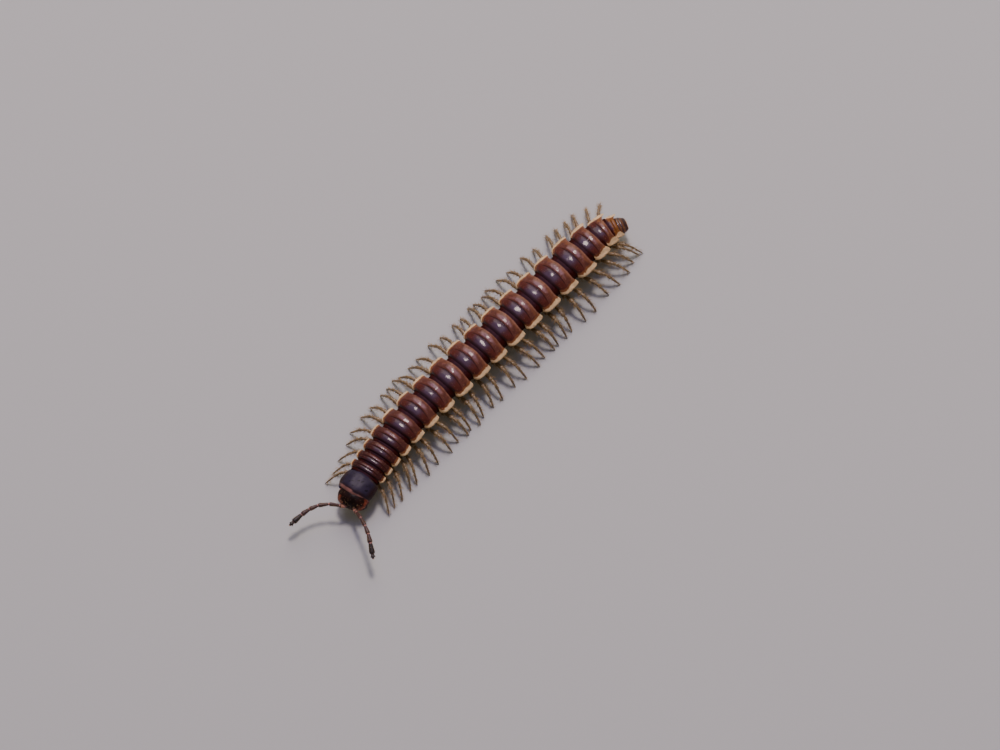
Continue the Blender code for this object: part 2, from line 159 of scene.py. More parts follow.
def hump(centre: float, width: float, values: np.ndarray) -> np.ndarray:
    """Bell curve: e to the minus square of the distance from the centre over the width."""
    return np.exp(-(((values - centre) / width) ** 2))


def ripples(points: np.ndarray, wavelength: float, seed: int) -> np.ndarray:
    """Irregular ripples in space: eight sine waves in random directions over the root of eight.

    Args:
        points: places in mm, shape (..., 3).
        wavelength: middle distance between crests in mm.
        seed: seed of the random directions.

    Returns:
        Values around 0, mostly within -1 and 1, shape (...).
    """
    chance = np.random.default_rng(seed)
    total = np.zeros(points.shape[:-1])
    count = 8
    for _ in range(count):
        way = chance.normal(size=3)
        way *= 2 * math.pi / (np.linalg.norm(way) * wavelength * chance.uniform(0.7, 1.4))
        total += np.sin(points @ way + chance.uniform(0, 2 * math.pi))
    return total / math.sqrt(count)


def unit(vectors: np.ndarray) -> np.ndarray:
    """Vectors of length 1 in the same directions."""
    return vectors / np.maximum(np.linalg.norm(vectors, axis=-1, keepdims=True), TINY)


def grid_normals(rows: np.ndarray) -> np.ndarray:
    """Outward normals of a grid that is closed around its columns.

    A normal is the cross product of the steps along the two directions of the grid, turned so
    that most of them point away from the middle of their row.

    Args:
        rows: points, shape (rows, columns, 3).

    Returns:
        Unit vectors of the same shape.
    """
    down = np.gradient(rows, axis=0)
    around = np.roll(rows, -1, axis=1) - np.roll(rows, 1, axis=1)
    normals = unit(np.cross(around, down))
    away = rows - rows.mean(axis=1, keepdims=True)
    sign = np.sign(np.sum(normals * away))
    return normals * sign


def on_grid(masks: dict[str, np.ndarray], grid: tuple[int, int]) -> dict[str, np.ndarray]:
    """Masks that vary along one or both directions of a grid, with a value at each of its points."""
    return {name: np.broadcast_to(values, grid) for name, values in masks.items()}


def tube_frame(path: np.ndarray) -> tuple[np.ndarray, ...]:
    """Directions along, above and beside a path that is nowhere vertical.

    Args:
        path: points, shape (n, 3).

    Returns:
        Unit vectors along, above and beside it, each of shape (n, 3).
    """
    along = unit(np.gradient(path, axis=0))
    beside = unit(np.cross(along, (0.0, 0.0, 1.0)))
    return along, np.cross(beside, along), beside


def loops(columns: int, above: np.ndarray, beside: np.ndarray) -> np.ndarray:
    """Circles of radius 1: the cosine of the angle times one direction plus its sine times the other.

    Args:
        columns: points in a circle.
        above: first direction of each circle, shape (n, 3).
        beside: second direction of each.

    Returns:
        Points of shape (n, columns, 3).
    """
    turn = full_turn(columns)
    return np.cos(turn)[None, :, None] * above[:, None] + np.sin(turn)[None, :, None] * beside[:, None]


def round_rows(path: np.ndarray, radii: np.ndarray, columns: int) -> np.ndarray:
    """Round loops across a path, as rows of a grid.

    Args:
        path: points, shape (n, 3).
        radii: radius at each, shape (n,).
        columns: points in a loop.

    Returns:
        Points of shape (n, columns, 3).
    """
    _, above, beside = tube_frame(path)
    return path[:, None] + radii[:, None, None] * loops(columns, above, beside)


@dataclass(frozen=True)
class Lump:
    """A squared ellipsoid in the frame of its sub-assembly.

    Attributes:
        centre: distance along, distance across, height, in mm.
        radii: half sizes in the same directions.
        power: power on the sines, 1 for an ellipsoid and less for a squarer form.
    """

    centre: tuple[float, float, float]
    radii: tuple[float, float, float]
    power: float

    def grid(self, columns: int, bands: int) -> tuple[np.ndarray, ...]:
        """Its surface: the slant runs from one end to the other and the turn around that line.

        Args:
            columns: points around it.
            bands: stretches between one end and the other.

        Returns:
            Distance along, distance across, height, and how far out a point lies to its side as
            a share, from -1 to 1.
        """
        turn = full_turn(columns)
        slant = math.pi * (np.arange(1, bands) / bands)[:, None]
        ring = np.sin(slant) ** self.power
        along = self.centre[0] - self.radii[0] * np.cos(slant) + 0 * turn
        across = self.centre[1] + self.radii[1] * ring * np.sin(turn)
        height = self.centre[2] + self.radii[2] * ring * np.cos(turn)
        return along, across, height, np.sin(turn) * ring


@dataclass
class Shape:
    """One or more closed surfaces.

    Attributes:
        points: places in mm, shape (n, 3).
        quads: four-sided faces, shape (q, 4).
        triangles: three-sided faces, shape (t, 3).
        masks: values by point that the finishes read, by name.
        patches: for hairs, a place on the hair map for each point, shape (n, 2).
    """

    points: np.ndarray
    quads: np.ndarray
    triangles: np.ndarray
    masks: dict[str, np.ndarray] = field(default_factory=dict)
    patches: Optional[np.ndarray] = None

    @staticmethod
    def from_rows(rows: np.ndarray, masks: Optional[dict[str, np.ndarray]] = None) -> "Shape":
        """A surface over a grid that is closed around its columns, with a pole at each end.

        Args:
            rows: points, shape (rows, columns, 3).
            masks: values on the same grid, by name.

        Returns:
            The closed surface, its faces turned outwards.
        """
        count, around = rows.shape[:2]
        row = (np.arange(count - 1) * around)[:, None]
        here = np.arange(around)[None]
        after = (here + 1) % around
        corners = (row + here, row + after, row + around + after, row + around + here)
        quads = np.stack(np.broadcast_arrays(*corners), axis=-1).reshape(-1, 4)
        near = np.full(around, count * around)
        last = (count - 1) * around
        caps = (
            np.stack((after[0], here[0], near), axis=-1),
            np.stack((last + here[0], last + after[0], near + 1), axis=-1),
        )
        poles = np.stack((rows[0].mean(axis=0), rows[-1].mean(axis=0)))
        points = np.concatenate((rows.reshape(-1, 3), poles))
        kept = {}
        for name, values in (masks or {}).items():
            values = np.broadcast_to(values, (count, around))
            kept[name] = np.concatenate((values.ravel(), (values[0].mean(), values[-1].mean())))
        made = Shape(points, quads, np.concatenate(caps), kept)
        return made if made.volume() > 0 else made.turned_over()

    @staticmethod
    def banded(rows: np.ndarray, masks: dict[str, np.ndarray]) -> "Shape":
        """A surface over rows as from_rows gives it, with masks of one value for each row."""
        return Shape.from_rows(rows, {name: values[:, None] for name, values in masks.items()})

    @staticmethod
    def together(shapes: list["Shape"]) -> "Shape":
        """Several shapes as one, with a mask of 0 where a shape lacks one of another's."""
        offsets = np.cumsum([0] + [len(shape.points) for shape in shapes])
        names = sorted({name for shape in shapes for name in shape.masks})
        masks = {
            name: np.concatenate([s.masks.get(name, np.zeros(len(s.points))) for s in shapes])
            for name in names
        }
        patches = None
        if all(shape.patches is not None for shape in shapes):
            patches = np.concatenate([shape.patches for shape in shapes])
        return Shape(
            np.concatenate([shape.points for shape in shapes]),
            np.concatenate([shape.quads + offset for shape, offset in zip(shapes, offsets)]),
            np.concatenate([shape.triangles + offset for shape, offset in zip(shapes, offsets)]),
            masks,
            patches,
        )

    def volume(self) -> float:
        """Volume inside, by the sum over triangles; it is negative if the faces point inwards."""
        parts = np.concatenate((self.quads[:, :3], self.quads[:, [0, 2, 3]], self.triangles))
        a, b, c = (self.points[parts[:, i]] for i in range(3))
        return float(np.sum(a * np.cross(b, c)) / 6)

    def turned_over(self) -> "Shape":
        """The same surface with its faces turned round."""
        return Shape(self.points, self.quads[:, ::-1], self.triangles[:, ::-1], self.masks, self.patches)

    def place(self, name: str, material: bpy.types.Material, slot: Slot, *nodes: str) -> bpy.types.Object:
        """Puts the shape into the scene as a piece on the body.

        Args:
            name: name of the piece.
            material: its finish.
            slot: slot of the record that the finish belongs to; not used.
            nodes: solids that the piece takes the place of.

        Returns:
            The new object, at the origin.
        """
        mesh = bpy.data.meshes.new(name)
        mesh.vertices.add(len(self.points))
        mesh.vertices.foreach_set("co", (self.points * MM).astype(np.float32).ravel())
        corners = np.concatenate((self.quads.ravel(), self.triangles.ravel())).astype(np.int32)
        fours = np.arange(len(self.quads)) * 4
        threes = len(self.quads) * 4 + np.arange(len(self.triangles)) * 3
        mesh.loops.add(len(corners))
        mesh.loops.foreach_set("vertex_index", corners)
        mesh.polygons.add(len(fours) + len(threes))
        mesh.polygons.foreach_set("loop_start", np.concatenate((fours, threes)).astype(np.int32))
        mesh.update(calc_edges=True)
        mesh.shade_smooth()
        for mask, values in self.masks.items():
            layer = mesh.attributes.new(mask, "FLOAT", "POINT")
            layer.data.foreach_set("value", values.astype(np.float32))
        if self.patches is not None:
            layer = mesh.uv_layers.new(name=HAIR_MAP)
            layer.data.foreach_set("uv", self.patches[corners].astype(np.float32).ravel())
        mesh.materials.append(material)
        made = add_object(name, mesh)
        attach(made, BODY)
        if nodes:
            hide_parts(*nodes)
        log.info("%s: %d points", name, len(self.points))
        return made


@dataclass(frozen=True)
class Bristle:
    """How the short hairs of one place look: length and thickness in mm, the rest as shares."""

    length: float
    thickness: float = 0.005
    lean: float = 0.9
    curl: float = 0.25
    scatter: float = 0.18
    lengths: tuple[float, float] = (0.65, 1.2)
    knee: float = 0.55
    knee_thickness: float = 0.6

    def grown(
        self, roots: np.ndarray, out: np.ndarray, back: np.ndarray, spots: np.ndarray, seed: int
    ) -> Shape:
        """Solid three-sided hairs: a sunk root, a bent middle and a pointed tip.

        A hair's direction is outward plus its lean times the direction that it lies in, varied at
        random, and its tip bends on in that direction by its curl.

        Args:
            roots: where they grow, shape (n, 3).
            out: outward unit vectors there.
            back: unit vectors of the direction that they lie in.
            spots: place of each root on the hair map, shape (n, 2).
            seed: seed of the random variation.

        Returns:
            All the hairs as one shape.
        """
        chance = np.random.default_rng(seed)
        count = len(roots)
        way = unit(out + back * self.lean + chance.normal(0, self.scatter, (count, 3)))
        tall = (self.length * chance.uniform(*self.lengths, count))[:, None]
        across = unit(np.cross(way, back + 0.3 * out + 0.01))
        other = np.cross(way, across)
        foot = roots - way * self.thickness
        knee = roots + way * tall * self.knee
        tip = roots + way * tall + back * tall * self.curl
        thick = loops(3, across, other) * self.thickness
        rows = (foot[:, None] + thick, knee[:, None] + thick * self.knee_thickness, tip[:, None])
        points = np.concatenate(rows, axis=1)
        first = (np.arange(count) * 7)[:, None, None]
        quads = np.array([[i, (i + 1) % 3, 3 + (i + 1) % 3, 3 + i] for i in range(3)])
        triangles = np.array([[3 + i, 3 + (i + 1) % 3, 6] for i in range(3)] + [[2, 1, 0]])
        patch = spots[:, None] + chance.uniform(0, 0.003, (count, 7, 2))
        return Shape(
            points.reshape(-1, 3),
            (quads[None] + first).reshape(-1, 4),
            (triangles[None] + first).reshape(-1, 3),
            {},
            np.clip(patch, 0, 1).reshape(-1, 2),
        )

    def grown_on(
        self,
        points: np.ndarray,
        row: np.ndarray,
        column: np.ndarray,
        way: np.ndarray,
        strip: np.ndarray,
        seed: int,
    ) -> Shape:
        """Hairs at some points of a grid that is closed around its columns.

        Args:
            points: the grid, shape (rows, columns, 3).
            row: row of each hair.
            column: column of each hair.
            way: unit vector of the direction that they all lie in.
            strip: place of each across the hair map.
            seed: seed of the random variation.

        Returns:
            All the hairs as one shape.
        """
        back = np.broadcast_to(way, (len(row), 3))
        spots = np.stack((strip, column / points.shape[1]), axis=-1)
        return self.grown(points[row, column], grid_normals(points)[row, column], back, spots, seed)


# Finishes


def linear(hex_colour: str) -> tuple[float, float, float, float]:
    """Linear colour with full alpha from an sRGB hex string such as #8A4A30."""
    values = [int(hex_colour[i : i + 2], 16) / 255 for i in (1, 3, 5)]
    red, green, blue = (v / 12.92 if v <= 0.04045 else ((v + 0.055) / 1.055) ** 2.4 for v in values)
    return red, green, blue, 1.0


def add_object(name: str, data: bpy.types.ID) -> bpy.types.Object:
    """A new object in the scene with a mesh, a lamp or a camera."""
    made = bpy.data.objects.new(name, data)
    bpy.context.scene.collection.objects.link(made)
    return made


def stand(made: bpy.types.Object, place: np.ndarray, facing: np.ndarray) -> None:
    """Puts a lamp or a camera at a place in metres and turns it to face a direction."""
    made.location = place
    made.rotation_mode = "QUATERNION"
    made.rotation_quaternion = type(made.location)(facing).to_track_quat("-Z", "Y")


def bare_material(name: str) -> bpy.types.Material:
    """A new material whose node tree is empty."""
    made = bpy.data.materials.new(name)
    made.use_nodes = True
    made.node_tree.nodes.clear()
    return made


def add_node(
    tree: bpy.types.NodeTree,
    kind: str,
    settings: Optional[dict] = None,
    values: Optional[dict] = None,
    links: Optional[dict] = None,
) -> bpy.types.Node:
    """Adds a node with its settings, the values of its inputs and the links into them.

    Args:
        tree: node tree of the material or world.
        kind: Blender's name of the kind of node.
        settings: properties of the node by name.
        values: values of inputs by name or number.
        links: output sockets to link to inputs, by name or number.

    Returns:
        The new node.
    """
    node = tree.nodes.new(kind)
    for key, value in (settings or {}).items():
        setattr(node, key, value)
    for key, value in (values or {}).items():
        node.inputs[key].default_value = value
    for key, source in (links or {}).items():
        tree.links.new(source, node.inputs[key])
    return node


@dataclass(frozen=True)
class Tint:
    """A colour that one of the piece's masks brings in, up to a share of full strength."""

    mask: str
    colour: str
    share: float = 1.0
    uneven: float = 0.25


@dataclass(frozen=True)
class Cuticle:
    """Hardened chitin over pigment: a colour in the depth under a thin clear outer layer.

    Attributes:
        name: name of the material.
        ground: colour where no mask brings in another.
        tints: colours by mask, each laid over those before it.
        roughness: roughness of the layer below the clear one.
        coat: weight of the clear outer layer.
        coat_roughness: roughness of that layer.
        mottle: how much lighter and darker the colour gets from spot to spot.
        mottle_size: distance between spots in mm.
        grain: depth of the fine pits in mm.
        grain_size: distance between the pits in mm.
        shine: level of the reflection of the layer below the clear one.
        glow: share of the light that travels below the surface.
        glow_depth: how far it travels in mm.
    """

    name: str
    ground: str
    tints: tuple[Tint, ...] = ()
    roughness: float = 0.42
    coat: float = 0.6
    coat_roughness: float = 0.12
    mottle: float = 0.22
    mottle_size: float = 0.22
    grain: float = 0.002
    grain_size: float = 0.05
    shine: float = 0.5
    glow: float = 0.0
    glow_depth: float = 0.15

    def material(self) -> bpy.types.Material:
        """The finish as a new material."""
        made = bare_material(self.name)
        tree = made.node_tree
        place = add_node(tree, "ShaderNodeTexCoord").outputs["Object"]
        spots = add_node(
            tree,
            "ShaderNodeTexNoise",
            values={"Scale": 1 / (self.mottle_size * MM), "Detail": 4.0, "Roughness": 0.6},
            links={"Vector": place},
        ).outputs["Fac"]
        colour = self._coloured(tree, spots)
        shade = add_node(
            tree,
            "ShaderNodeMapRange",
            values={**NOISE_RANGE, 3: 1 - self.mottle, 4: 1 + self.mottle},
            links={0: spots},
        ).outputs[0]
        mottled = add_node(
            tree,
            "ShaderNodeMix",
            settings={"data_type": "RGBA", "blend_type": "MULTIPLY", "clamp_result": True},
            values={0: 1.0},
            links={6: colour, 7: shade},
        ).outputs[2]
        matt = add_node(
            tree,
            "ShaderNodeMapRange",
            values={**NOISE_RANGE, 3: self.roughness * 0.85, 4: self.roughness * 1.2},
            links={0: spots},
        ).outputs[0]
        pits = add_node(
            tree,
            "ShaderNodeTexNoise",
            values={"Scale": 1 / (self.grain_size * MM), "Detail": 2.0},
            links={"Vector": place},
        ).outputs["Fac"]
        bump = add_node(
            tree,
            "ShaderNodeBump",
            values={"Strength": 1.0, "Distance": self.grain * MM},
            links={"Height": pits},
        ).outputs[0]
        shader = add_node(
            tree,
            "ShaderNodeBsdfPrincipled",
            values={
                "IOR": CHITIN_IOR,
                "Specular IOR Level": self.shine,
                "Coat Weight": self.coat,
                "Coat Roughness": self.coat_roughness,
                "Coat IOR": CHITIN_IOR,
                "Subsurface Weight": self.glow,
                "Subsurface Radius": (1.0, 0.55, 0.3),
                "Subsurface Scale": self.glow_depth * MM,
            },
            links={"Base Color": mottled, "Roughness": matt, "Normal": bump},
        ).outputs[0]
        add_node(tree, "ShaderNodeOutputMaterial", links={"Surface": shader})
        return made

    def _coloured(self, tree: bpy.types.NodeTree, spots: bpy.types.NodeSocket) -> bpy.types.NodeSocket:
        """The ground colour with each tint laid over it by its mask, whose border the spots roughen.

        Args:
            tree: node tree of the material.
            spots: output of the noise that roughens the borders.

        Returns:
            The output with the colour.
        """
        colour = None
        for tint in self.tints:
            node = add_node(tree, "ShaderNodeAttribute", settings={"attribute_name": tint.mask})
            mask = node.outputs["Fac"]
            border = add_node(
                tree,
                "ShaderNodeMapRange",
                values={**NOISE_RANGE, 3: -tint.uneven, 4: tint.uneven},
                links={0: spots},
            ).outputs[0]
            moved = add_node(
                tree,
                "ShaderNodeMath",
                settings={"operation": "MULTIPLY_ADD"},
                values={1: 1 + 2 * tint.uneven},
                links={0: mask, 2: border},
            ).outputs[0]
            lowered = add_node(
                tree,
                "ShaderNodeMapRange",
                values={1: tint.uneven, 2: 1 + tint.uneven, 3: 0.0, 4: tint.share},
                links={0: moved},
            ).outputs[0]
            colour = add_node(
                tree,
                "ShaderNodeMix",
                settings={"data_type": "RGBA"},
                values={6: linear(self.ground), 7: linear(tint.colour)},
                links={0: lowered} if colour is None else {0: lowered, 6: colour},
            ).outputs[2]
        return colour


@dataclass(frozen=True)
class ClearHair:
    """Unpigmented chitin hair: two straw tones that change from place to place, evenly polished."""

    name: str
    tones: tuple[str, str]
    patch_size: float = 0.5
    roughness: float = 0.40

    def material(self) -> bpy.types.Material:
        """The finish as a new material."""
        made = bare_material(self.name)
        tree = made.node_tree
        place = add_node(tree, "ShaderNodeTexCoord").outputs["Object"]
        spots = add_node(
            tree,
            "ShaderNodeTexNoise",
            values={"Scale": 1 / (self.patch_size * MM)},
            links={"Vector": place},
        ).outputs["Fac"]
        colour = add_node(
            tree,
            "ShaderNodeMix",
            settings={"data_type": "RGBA"},
            values={6: linear(self.tones[0]), 7: linear(self.tones[1])},
            links={0: spots},
        ).outputs[2]
        shader = add_node(
            tree,
            "ShaderNodeBsdfPrincipled",
            values={"IOR": CHITIN_IOR, "Roughness": self.roughness},
            links={"Base Color": colour},
        ).outputs[0]
        add_node(tree, "ShaderNodeOutputMaterial", links={"Surface": shader})
        return made


# Tergites: calcified cuticle, polished by the soil it moves through. Dark pigment at the front of a
# ring and chestnut behind show through a clear glossy layer, and the keels have none. The violet on
# the front's middle is a painted sheen over the dark pigment, and the pink on the rear's crest is a
# painted sheen. The front's sides are painted darker as shade of the valley between rings, and the
# furrow and the hollow behind the rim are painted dark as shade.
RING_FINISH = Cuticle(
    "calcified_tergite_cuticle",
    "#54241C",
    tints=(
        # dark pigment with a painted violet sheen on the middle of the back
        Tint("dusk", "#3E2A3C", 0.9),
        Tint("rear", "#63392F", 0.9, 0.35),
        # painted sheen on the crest of the rear band
        Tint("blush", "#8E6A6C", 0.65, 0.5),
        Tint("warm", "#80502E", 0.5, 0.5),
        Tint("edge", "#8A6252", 0.5, 0.6),
        # dark front pigment, painted darker at the sides as shade of the valley between rings
        Tint("front", "#230A0C", 0.85),
        Tint("deep", "#2A0C10", 0.8),
        Tint("gold", "#8A561E", 0.8, 0.5),
        # painted shade in the furrow and on the wall of the hollow behind the rim
        Tint("furrow", "#200A0C", 0.7),
        Tint("flank", "#6A3A26", 0.9),
        Tint("belly", "#B58E5A", 0.9),
        Tint("rust", "#8A5630", 0.7, 0.6),
        Tint("keel", "#E0C292", 1.0, 0.7),
        Tint("pore", "#4A2412", 0.8),
    ),
    roughness=0.50,
    coat=0.28,
    coat_roughness=0.13,
    shine=0.12,
    glow=0.06,
    glow_depth=0.08,
)

# Prozonites: the finely shagreened necks that slide into the ring ahead. Their scaly surface
# scatters the light, so they stay dark and dull between the glossy tergites. The violet-grey on
# the middle of their back is a painted sheen.
NECK_FINISH = Cuticle(
    "shagreened_prozonite_cuticle",
    "#340D08",
    tints=(
        Tint("flank", "#42180C", 0.9),
        # painted violet-grey sheen on the middle of the neck's back
        Tint("ridge", "#3A2430", 0.8),
        Tint("belly", "#B08A5A", 0.9),
    ),
    roughness=0.62,
    coat=0.0,
    shine=0.05,
    mottle=0.30,
    mottle_size=0.10,
    grain=0.004,
    grain_size=0.03,
)

# The first shield: the same cuticle, thicker and smoother, with a thin unpigmented front rim.
# Its violet-grey ground is dark pigment with a painted violet sheen, and its sides and front are darker.
COLLUM_FINISH = Cuticle(
    "polished_collum_cuticle",
    # violet-grey ground: dark pigment with a painted violet sheen
    "#2A2238",
    tints=(
        Tint("side", "#260C0E", 0.95),
        Tint("olive", "#3A3022", 0.7),
        Tint("rim", "#8A6056", 0.8, 0.45),
        Tint("mark", "#0B0410", 0.9),
        Tint("belly", "#A98058"),
    ),
    roughness=0.55,
    coat=0.18,
    coat_roughness=0.42,
    mottle=0.25,
    mottle_size=0.30,
    grain=0.001,
    shine=0.15,
)

# Head: thick dark sclerotin on the face, thinner and rust-coloured on the cheeks and the lip.
HEAD_FINISH = Cuticle(
    "sclerotised_head_cuticle",
    "#200B06",
    tints=(
        Tint("brow", "#140504", 0.8),
        Tint("cheek", "#98482E", 0.8, 0.5),
        Tint("lip", "#74340E", 0.9, 0.4),
        Tint("edge", "#1A0506", 0.95),
        Tint("suture", "#120506", 0.9),
        Tint("socket", "#B98468", 0.8),
    ),
    roughness=0.52,
    coat=0.08,
    coat_roughness=0.30,
    mottle=0.40,
    mottle_size=0.16,
    shine=0.12,
)

# Mouthparts: thin amber sclerotin.
MOUTH_FINISH = Cuticle(
    "amber_mouthpart_cuticle",
    "#8A5228",
    tints=(Tint("seam", "#4A2412", 0.9),),
    roughness=0.40,
    glow=0.10,
)

# Antennae: downy sclerotin, black on the club, with soft pale skin at the joints.
ANTENNA_FINISH = Cuticle(
    "downy_antenna_cuticle",
    "#3E201C",
    tints=(
        Tint("base", "#B07E66", 0.9),
        Tint("club", "#160A0A"),
        Tint("joint", "#B98478", 0.9),
        Tint("cone", "#D8B090"),
    ),
    roughness=0.55,
    coat=0.15,
    coat_roughness=0.3,
    mottle=0.35,
    mottle_size=0.12,
    grain=0.003,
    grain_size=0.03,
)

# Legs: thin cuticle with hardly any pigment, so light passes through it.
LEG_FINISH = Cuticle(
    "translucent_leg_cuticle",
    "#8C7854",
    tints=(Tint("outer", "#6C5C3E", 0.8), Tint("joint", "#AC9670", 0.6), Tint("claw", "#4E3018")),
    roughness=0.45,
    coat=0.2,
    coat_roughness=0.25,
    mottle=0.20,
    glow=0.15,
    glow_depth=0.15,
)

# Telson: brown tergite with unpigmented, golden margins.
TELSON_FINISH = Cuticle(
    "calcified_telson_cuticle",
    "#3C1810",
    tints=(
        Tint("band", "#6E4218", 0.8),
        Tint("stripe", "#2C1008", 0.9),
        Tint("edge", "#D9B684", 0.9),
        Tint("valve", "#7A421E"),
        Tint("belly", "#B08550"),
        Tint("seam", "#200A08"),
    ),
    roughness=0.40,
    glow=0.10,
)

# Setae: clear chitin hairs, which look straw-coloured against the dark body.
SETA_FINISH = ClearHair("chitin_seta", ("#B08E5C", "#D2B684"))


class Wardrobe:
    """The finishes as materials, each made once."""

    def __init__(self) -> None:
        """Starts with no material made."""
        self._made: dict[str, bpy.types.Material] = {}

    def __getitem__(self, finish: Cuticle | ClearHair) -> bpy.types.Material:
        """The material of a finish."""
        if finish.name not in self._made:
            self._made[finish.name] = finish.material()
        return self._made[finish.name]


# The body's plan


@dataclass
class BodyPlan:
    """The centre line and the sizes by ring number, in mm.

    Attributes:
        ring_length: length of each ring that shows: the collum, rings 2 to 19, the telson.
        collum_start: where the collum begins in the plan, before the move to the origin.
        bearings: bearing of the centre line from +X at the front, middle and tail, in degrees.
        bends: distance along the body and width of the two bends between them.
        origin: the middle of the model's box in the plan, which becomes the origin.
        half_widths: half of the width over the keels, by ring number.
        backs: height of the back, by ring number.
        bellies: height of the belly, by ring number.
        corners: how far the keels' hind corners are drawn back, by ring number.
        sides_ahead: how far a ring's sides lie ahead of its middle, by ring number.
        gap: room between one ring and the next.
        sampled: room before and behind the body, and number of points, of the worked-out line.
    """

    ring_length: tuple[float, ...] = (
        1.10, 0.50, 0.56, 0.67, 0.83, 1.08, 1.13, 1.13, 1.28, 1.23,
        1.18, 1.28, 1.22, 1.27, 1.23, 1.28, 1.04, 0.86, 0.50, 0.54,
    )
    collum_start: tuple[float, float] = (-10.08, -0.81)
    bearings: tuple[float, float, float] = (11.5, 1.5, -25.0)
    bends: Table = ((4.2, 0.9), (18.80, 0.30))
    origin: tuple[float, float] = (-1.67240, -0.56126)
    half_widths: Table = (
        (1, 0.91), (2, 0.94), (4, 0.99), (5, 1.06), (9, 1.14), (16, 1.13), (17, 1.02), (18, 0.84), (19, 0.62),
    )
    backs: Table = (
        (1, 1.66), (4, 1.76), (6, 1.86), (16, 1.87), (17, 1.80), (18, 1.62), (19, 1.40), (20, 1.25),
    )
    bellies: Table = ((1, 0.66), (4, 0.54), (6, 0.52), (17, 0.52), (18, 0.54), (19, 0.58), (20, 0.60))
    corners: Table = ((2, 0.05), (6, 0.11), (12, 0.15), (16, 0.21), (17, 0.22), (18, 0.22), (19, 0.18))
    sides_ahead: Table = ((2, 0.05), (5, 0.11), (7, 0.19), (14, 0.19), (16, 0.13), (17, 0.05), (18, 0.0))
    gap: float = 0.05
    sampled: tuple[float, float, int] = (2.0, 1.0, 2301)

    def __post_init__(self) -> None:
        """Works out the centre line as the running sum of steps along its bearing."""
        before, after, count = self.sampled
        along = np.linspace(-before, sum(self.ring_length) + after, count)
        front, middle, tail = self.bearings
        turns = [1 / (1 + np.exp(-(along - at) / wide)) for at, wide in self.bends]
        self._bearing = np.radians(front + (middle - front) * turns[0] + (tail - middle) * turns[1])
        step = along[1] - along[0]
        self._along = along
        self._x = np.cumsum(np.cos(self._bearing)) * step
        self._y = np.cumsum(np.sin(self._bearing)) * step
        self._x += self.collum_start[0] - self.origin[0] - np.interp(0.0, along, self._x)
        self._y += self.collum_start[1] - self.origin[1] - np.interp(0.0, along, self._y)

    def bearing(self, along: np.ndarray) -> np.ndarray:
        """Bearing of the centre line from +X at distances along it, in radians."""
        return np.interp(along, self._along, self._bearing)

    def place(self, along: np.ndarray, across: np.ndarray, height: np.ndarray) -> np.ndarray:
        """Points from distances along the body, to its right and up.

        Args:
            along: distances from the front of the collum, in mm.
            across: distances to the animal's right.
            height: heights above the floor.

        Returns:
            Points of the common shape with a last axis of 3.
        """
        turn = self.bearing(along)
        x = np.interp(along, self._along, self._x) - np.sin(turn) * across
        y = np.interp(along, self._along, self._y) + np.cos(turn) * across
        return np.stack(np.broadcast_arrays(x, y, height), axis=-1)

    def directions(self, along: float) -> tuple[np.ndarray, np.ndarray]:
        """Unit vectors towards the head and to the animal's right at a distance along the body."""
        turn = float(self.bearing(np.array(along)))
        ahead = -np.array((math.cos(turn), math.sin(turn), 0.0))
        right = np.array((-math.sin(turn), math.cos(turn), 0.0))
        return ahead, right

    def start(self, ring: int) -> float:
        """Distance along the body at which a ring begins."""
        return float(sum(self.ring_length[: ring - 1]))

    def half_width(self, ring: float) -> float:
        """Half of a ring's width over its keels."""
        return straight(self.half_widths, ring)

    def back(self, ring: float) -> float:
        """Height of a ring's back."""
        return straight(self.backs, ring)

    def belly(self, ring: float) -> float:
        """Height of a ring's belly."""
        return straight(self.bellies, ring)


@dataclass(frozen=True)
class Outline:
    """Half of an outline across the body, from the middle of the back to that of the belly.

    Attributes:
        rows: (place on the outline, share of the half width, share of the height).
    """

    rows: Table
    LAST = 11.0

    def around(self, columns: int) -> tuple[np.ndarray, np.ndarray, np.ndarray]:
        """The whole outline, down the right side and up the left one.

        The half is carried on past both ends by its mirror image, so that it crosses the middle
        smoothly, and then read with the eased curve.

        Args:
            columns: number of points around, an even number.

        Returns:
            Place on the half outline, share of the half width with its sign, share of the height.
        """
        rows = np.array(self.rows)
        mirror = np.array((1.0, -1.0, 1.0))
        before = rows[1:4][::-1] * mirror * (-1.0, 1.0, 1.0)
        after = rows[-4:-1][::-1] * mirror
        after[:, 0] = 2 * self.LAST - after[:, 0]
        whole = np.concatenate((before, rows, after))
        turn = np.arange(columns) * 2 * self.LAST / columns
        right = turn <= self.LAST
        place = np.where(right, turn, 2 * self.LAST - turn)
        read = eased(whole[:, 0], whole[:, 1:], place)
        return place, np.where(right, 1.0, -1.0) * read[:, 0], read[:, 1]


KEELED = Outline((
    (0.0, 0.00, 1.00), (1.0, 0.27, 0.982), (2.0, 0.52, 0.916), (3.0, 0.72, 0.816), (4.0, 0.88, 0.712),
    (4.5, 0.945, 0.675), (4.9, 0.985, 0.650), (5.2, 1.00, 0.622), (5.5, 0.998, 0.592), (6.0, 0.975, 0.562),
    (7.0, 0.80, 0.545), (8.0, 0.65, 0.46), (9.0, 0.62, 0.28), (10.0, 0.46, 0.09), (11.0, 0.00, 0.00),
))
NECKED = Outline((
    (0.0, 0.00, 0.90), (1.0, 0.24, 0.885), (2.0, 0.43, 0.84), (3.0, 0.57, 0.77), (4.0, 0.65, 0.69),
    (5.0, 0.675, 0.61), (6.0, 0.68, 0.53), (7.0, 0.67, 0.45), (8.0, 0.65, 0.37), (9.0, 0.59, 0.25),
    (10.0, 0.43, 0.11), (11.0, 0.00, 0.04),
))
